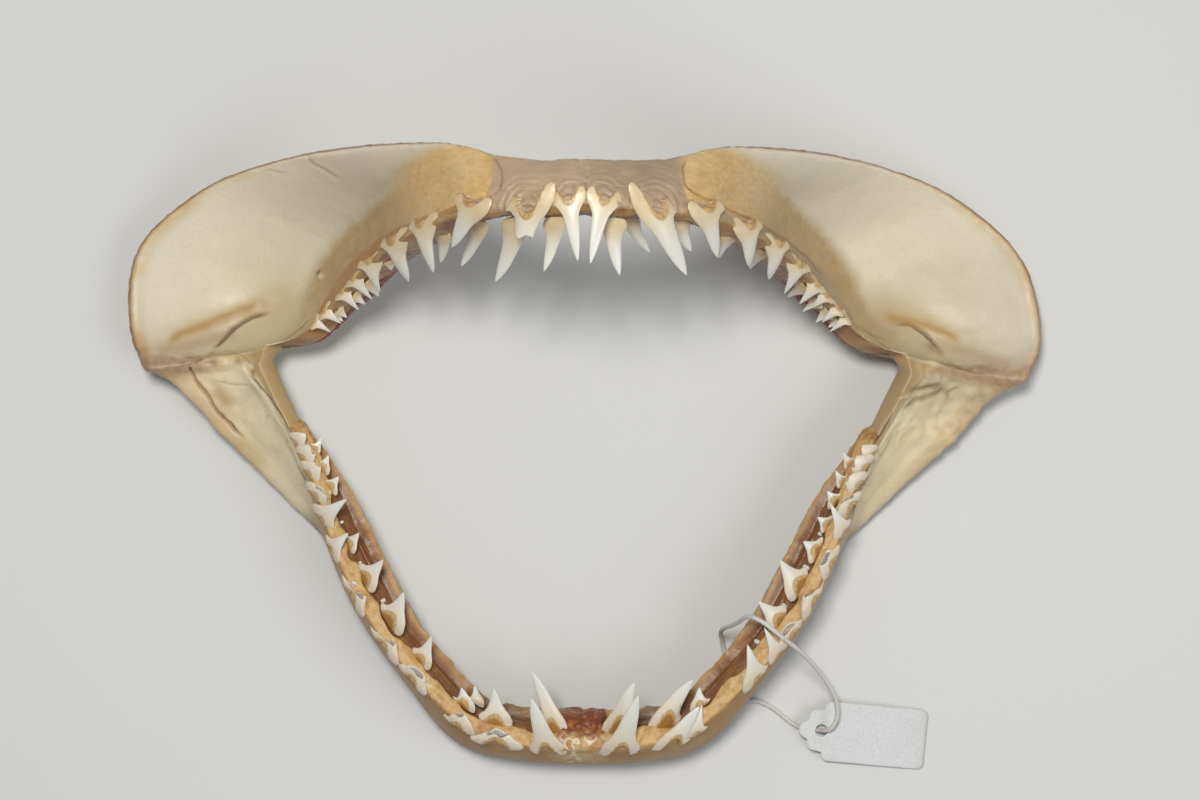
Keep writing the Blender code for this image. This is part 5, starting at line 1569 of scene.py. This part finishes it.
def add_knot(material):
    """The string's knot: a short strand wound round itself."""
    turn = np.linspace(0.0, 2 * np.pi * KNOT_TURNS, KNOT_ROWS)
    middle = np.array(KNOT_MIDDLE) - np.array((*MIDDLE, 0.0))
    radius = STRING_DIAMETER * KNOT_SQUEEZE
    lay = turn * KNOT_LAY
    winding = np.stack((np.cos(turn) * (0.7 + 0.3 * np.cos(lay)), np.sin(turn), np.sin(lay + 0.4)), -1)
    path = middle + (np.array(KNOT_SIZE) * 0.5 - radius) * winding
    ahead = unit(np.gradient(path, axis=0))
    side = unit(np.cross(ahead, KNOT_ACROSS))
    points = tube(path, side, np.cross(ahead, side), radius) * MM
    item = add_mesh("tag_knot", points)
    paint(item, np.broadcast_to(COTTON_KNOT, points.shape),
          np.full(points.shape[:2], COTTON_ROUGH))
    finish(item, material, "tag_knot")
    return item


# ---------------------------------------------------------------- pieces and materials


def finish(item, material, node):
    """Gives a piece its material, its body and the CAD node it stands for."""
    if material:
        item.data.materials.append(material)
    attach(item, "root")
    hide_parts(node)
    item.name = f"{node}_skin"


def set_inputs(node, **values):
    """Sets a node's inputs; an underscore in a name stands for a space."""
    for name, value in values.items():
        node.inputs[name.replace("_", " ")].default_value = value


def painted_material(name, grain, bump_depth, subsurface, coat=0.0, contrast=0.14):
    """Material whose colour and roughness come from the mesh, with fine grain over them."""
    material = bpy.data.materials.new(name)
    material.use_nodes = True
    nodes = material.node_tree.nodes
    shader = nodes["Principled BSDF"]
    set_inputs(shader, Subsurface_Weight=subsurface, Subsurface_Radius=(1.0, 0.5, 0.25),
               Subsurface_Scale=0.002, Coat_Weight=coat, Coat_Roughness=0.25)
    colour = nodes.new("ShaderNodeAttribute")
    colour.attribute_name = "paint"
    rough = nodes.new("ShaderNodeAttribute")
    rough.attribute_name = "rough"
    place = nodes.new("ShaderNodeTexCoord")
    speckle = nodes.new("ShaderNodeTexNoise")
    set_inputs(speckle, Scale=grain, Detail=6.0, Roughness=0.65)
    shade = nodes.new("ShaderNodeMapRange")
    set_inputs(shade, From_Min=0.3, From_Max=0.7, To_Min=1.0 - contrast, To_Max=1.0 + contrast)
    tint = nodes.new("ShaderNodeVectorMath")
    tint.operation = "SCALE"
    height = nodes.new("ShaderNodeBump")
    set_inputs(height, Strength=0.6, Distance=bump_depth * MM)
    for source, output, target, socket in (
            (place, "Object", speckle, "Vector"),
            (speckle, "Fac", shade, "Value"),
            (colour, "Color", tint, 0),
            (shade, "Result", tint, "Scale"),
            (tint, "Vector", shader, "Base Color"),
            (rough, "Fac", shader, "Roughness"),
            (speckle, "Fac", height, "Height"),
            (height, "Normal", shader, "Normal")):
        material.node_tree.links.new(source.outputs[output], target.inputs[socket])
    return material


# ---------------------------------------------------------------- floor and light

FLOOR_HALF = 2.5            # metres
FLOOR_GAP = 0.0003
FLOOR_COLOUR = (0.62, 0.62, 0.60, 1.0)


def add_light(name, place, size, power, colour):
    """A round light over the piece, turned to its middle."""
    data = bpy.data.lights.new(name, "AREA")
    data.shape = "DISK"
    data.size = size
    data.energy = power
    data.color = colour
    light = bpy.data.objects.new(name, data)
    light.location = place
    light.rotation_euler = (-Vector(place)).to_track_quat("-Z", "Y").to_euler()
    bpy.context.scene.collection.objects.link(light)


def add_stage():
    """A pale floor and soft studio light."""
    data = bpy.data.meshes.new("floor")
    corners = [(x * FLOOR_HALF, y * FLOOR_HALF, 0) for x, y in ((-1, -1), (1, -1), (1, 1), (-1, 1))]
    data.from_pydata(corners, [], [(0, 1, 2, 3)])
    floor = bpy.data.objects.new("floor", data)
    bpy.context.scene.collection.objects.link(floor)
    material = bpy.data.materials.new("floor")
    material.use_nodes = True
    set_inputs(material.node_tree.nodes["Principled BSDF"], Base_Color=FLOOR_COLOUR, Roughness=0.9)
    data.materials.append(material)
    floor.location.z = -FLOOR_GAP
    add_light("key", (-0.12, 0.28, 1.35), 0.3, 13.6, (1.0, 0.98, 0.95))
    add_light("fill", (0.7, -0.35, 0.9), 0.8, 4.0, (0.94, 0.97, 1.0))
    world = bpy.data.worlds.new("studio")
    world.use_nodes = True
    set_inputs(world.node_tree.nodes["Background"], Color=(0.9, 0.93, 1.0, 1.0), Strength=0.22)
    bpy.context.scene.world = world


# ---------------------------------------------------------------- the whole piece

Look = namedtuple("Look", "colour relief")
Jaw = namedtuple("Jaw", "name bar look gum_look teeth")

UPPER = Jaw("upper", Bar(UPPER_SECTIONS, UPPER_ROWS, UPPER_GUM_END, -1.0, True),
            Look(upper_colour, upper_relief), upper_gum_look, UPPER_TEETH)
LOWER = Jaw("lower", Bar(LOWER_SECTIONS, LOWER_ROWS, LOWER_GUM_END, 1.0, False),
            Look(lower_colour, lower_relief), lower_gum_look, LOWER_TEETH)


def add_jaw(jaw, cartilage, tissue, enamel):
    """Both bars of a jaw, their gum and teeth, and the soft joint between them."""
    for side_name, side in SIDES.items():
        teeth = jaw.teeth[side_name]
        grid = bar_grid(jaw.bar, SYMPHYSIS_END, jaw.bar.last, BAR_ROWS)
        add_bar_skin(f"{jaw.name}_jaw_{side_name}", grid, side, jaw.look, cartilage,
                     jaw.bar, teeth)
        add_teeth(jaw, side_name, tissue, enamel)
    end = SYMPHYSIS_END + SYMPHYSIS_LAP
    add_bar_skin(f"{jaw.name}_symphysis", bar_grid(jaw.bar, -end, end, JOINT_ROWS), 1.0, jaw.look,
                 cartilage, jaw.bar, jaw.teeth["left"])


def main():
    """Makes the whole piece: first the camera and the cord, then jaws, joints and studio."""
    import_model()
    add_camera()
    cotton = painted_material("cotton", 2400.0, 0.05, 0.1)
    card = painted_material("card", 1500.0, 0.03, 0.05)
    knot = add_knot(cotton)
    tag = add_tag(card)
    add_string(cotton)
    cartilage = painted_material("cartilage", 900.0, 0.12, 0.12, contrast=0.05)
    tissue = painted_material("dried_tissue", 700.0, 0.35, 0.12)
    enamel = painted_material("teeth", 1600.0, 0.02, 0.15, coat=0.3, contrast=0.03)
    for jaw in (UPPER, LOWER):
        add_jaw(jaw, cartilage, tissue, enamel)
    for side_name, side in SIDES.items():
        add_bar_skin(f"hinge_{side_name}", hinge_grid(UPPER.bar, LOWER.bar), side,
                     Look(hinge_colour, hinge_relief), cartilage)
    add_stage()


main()
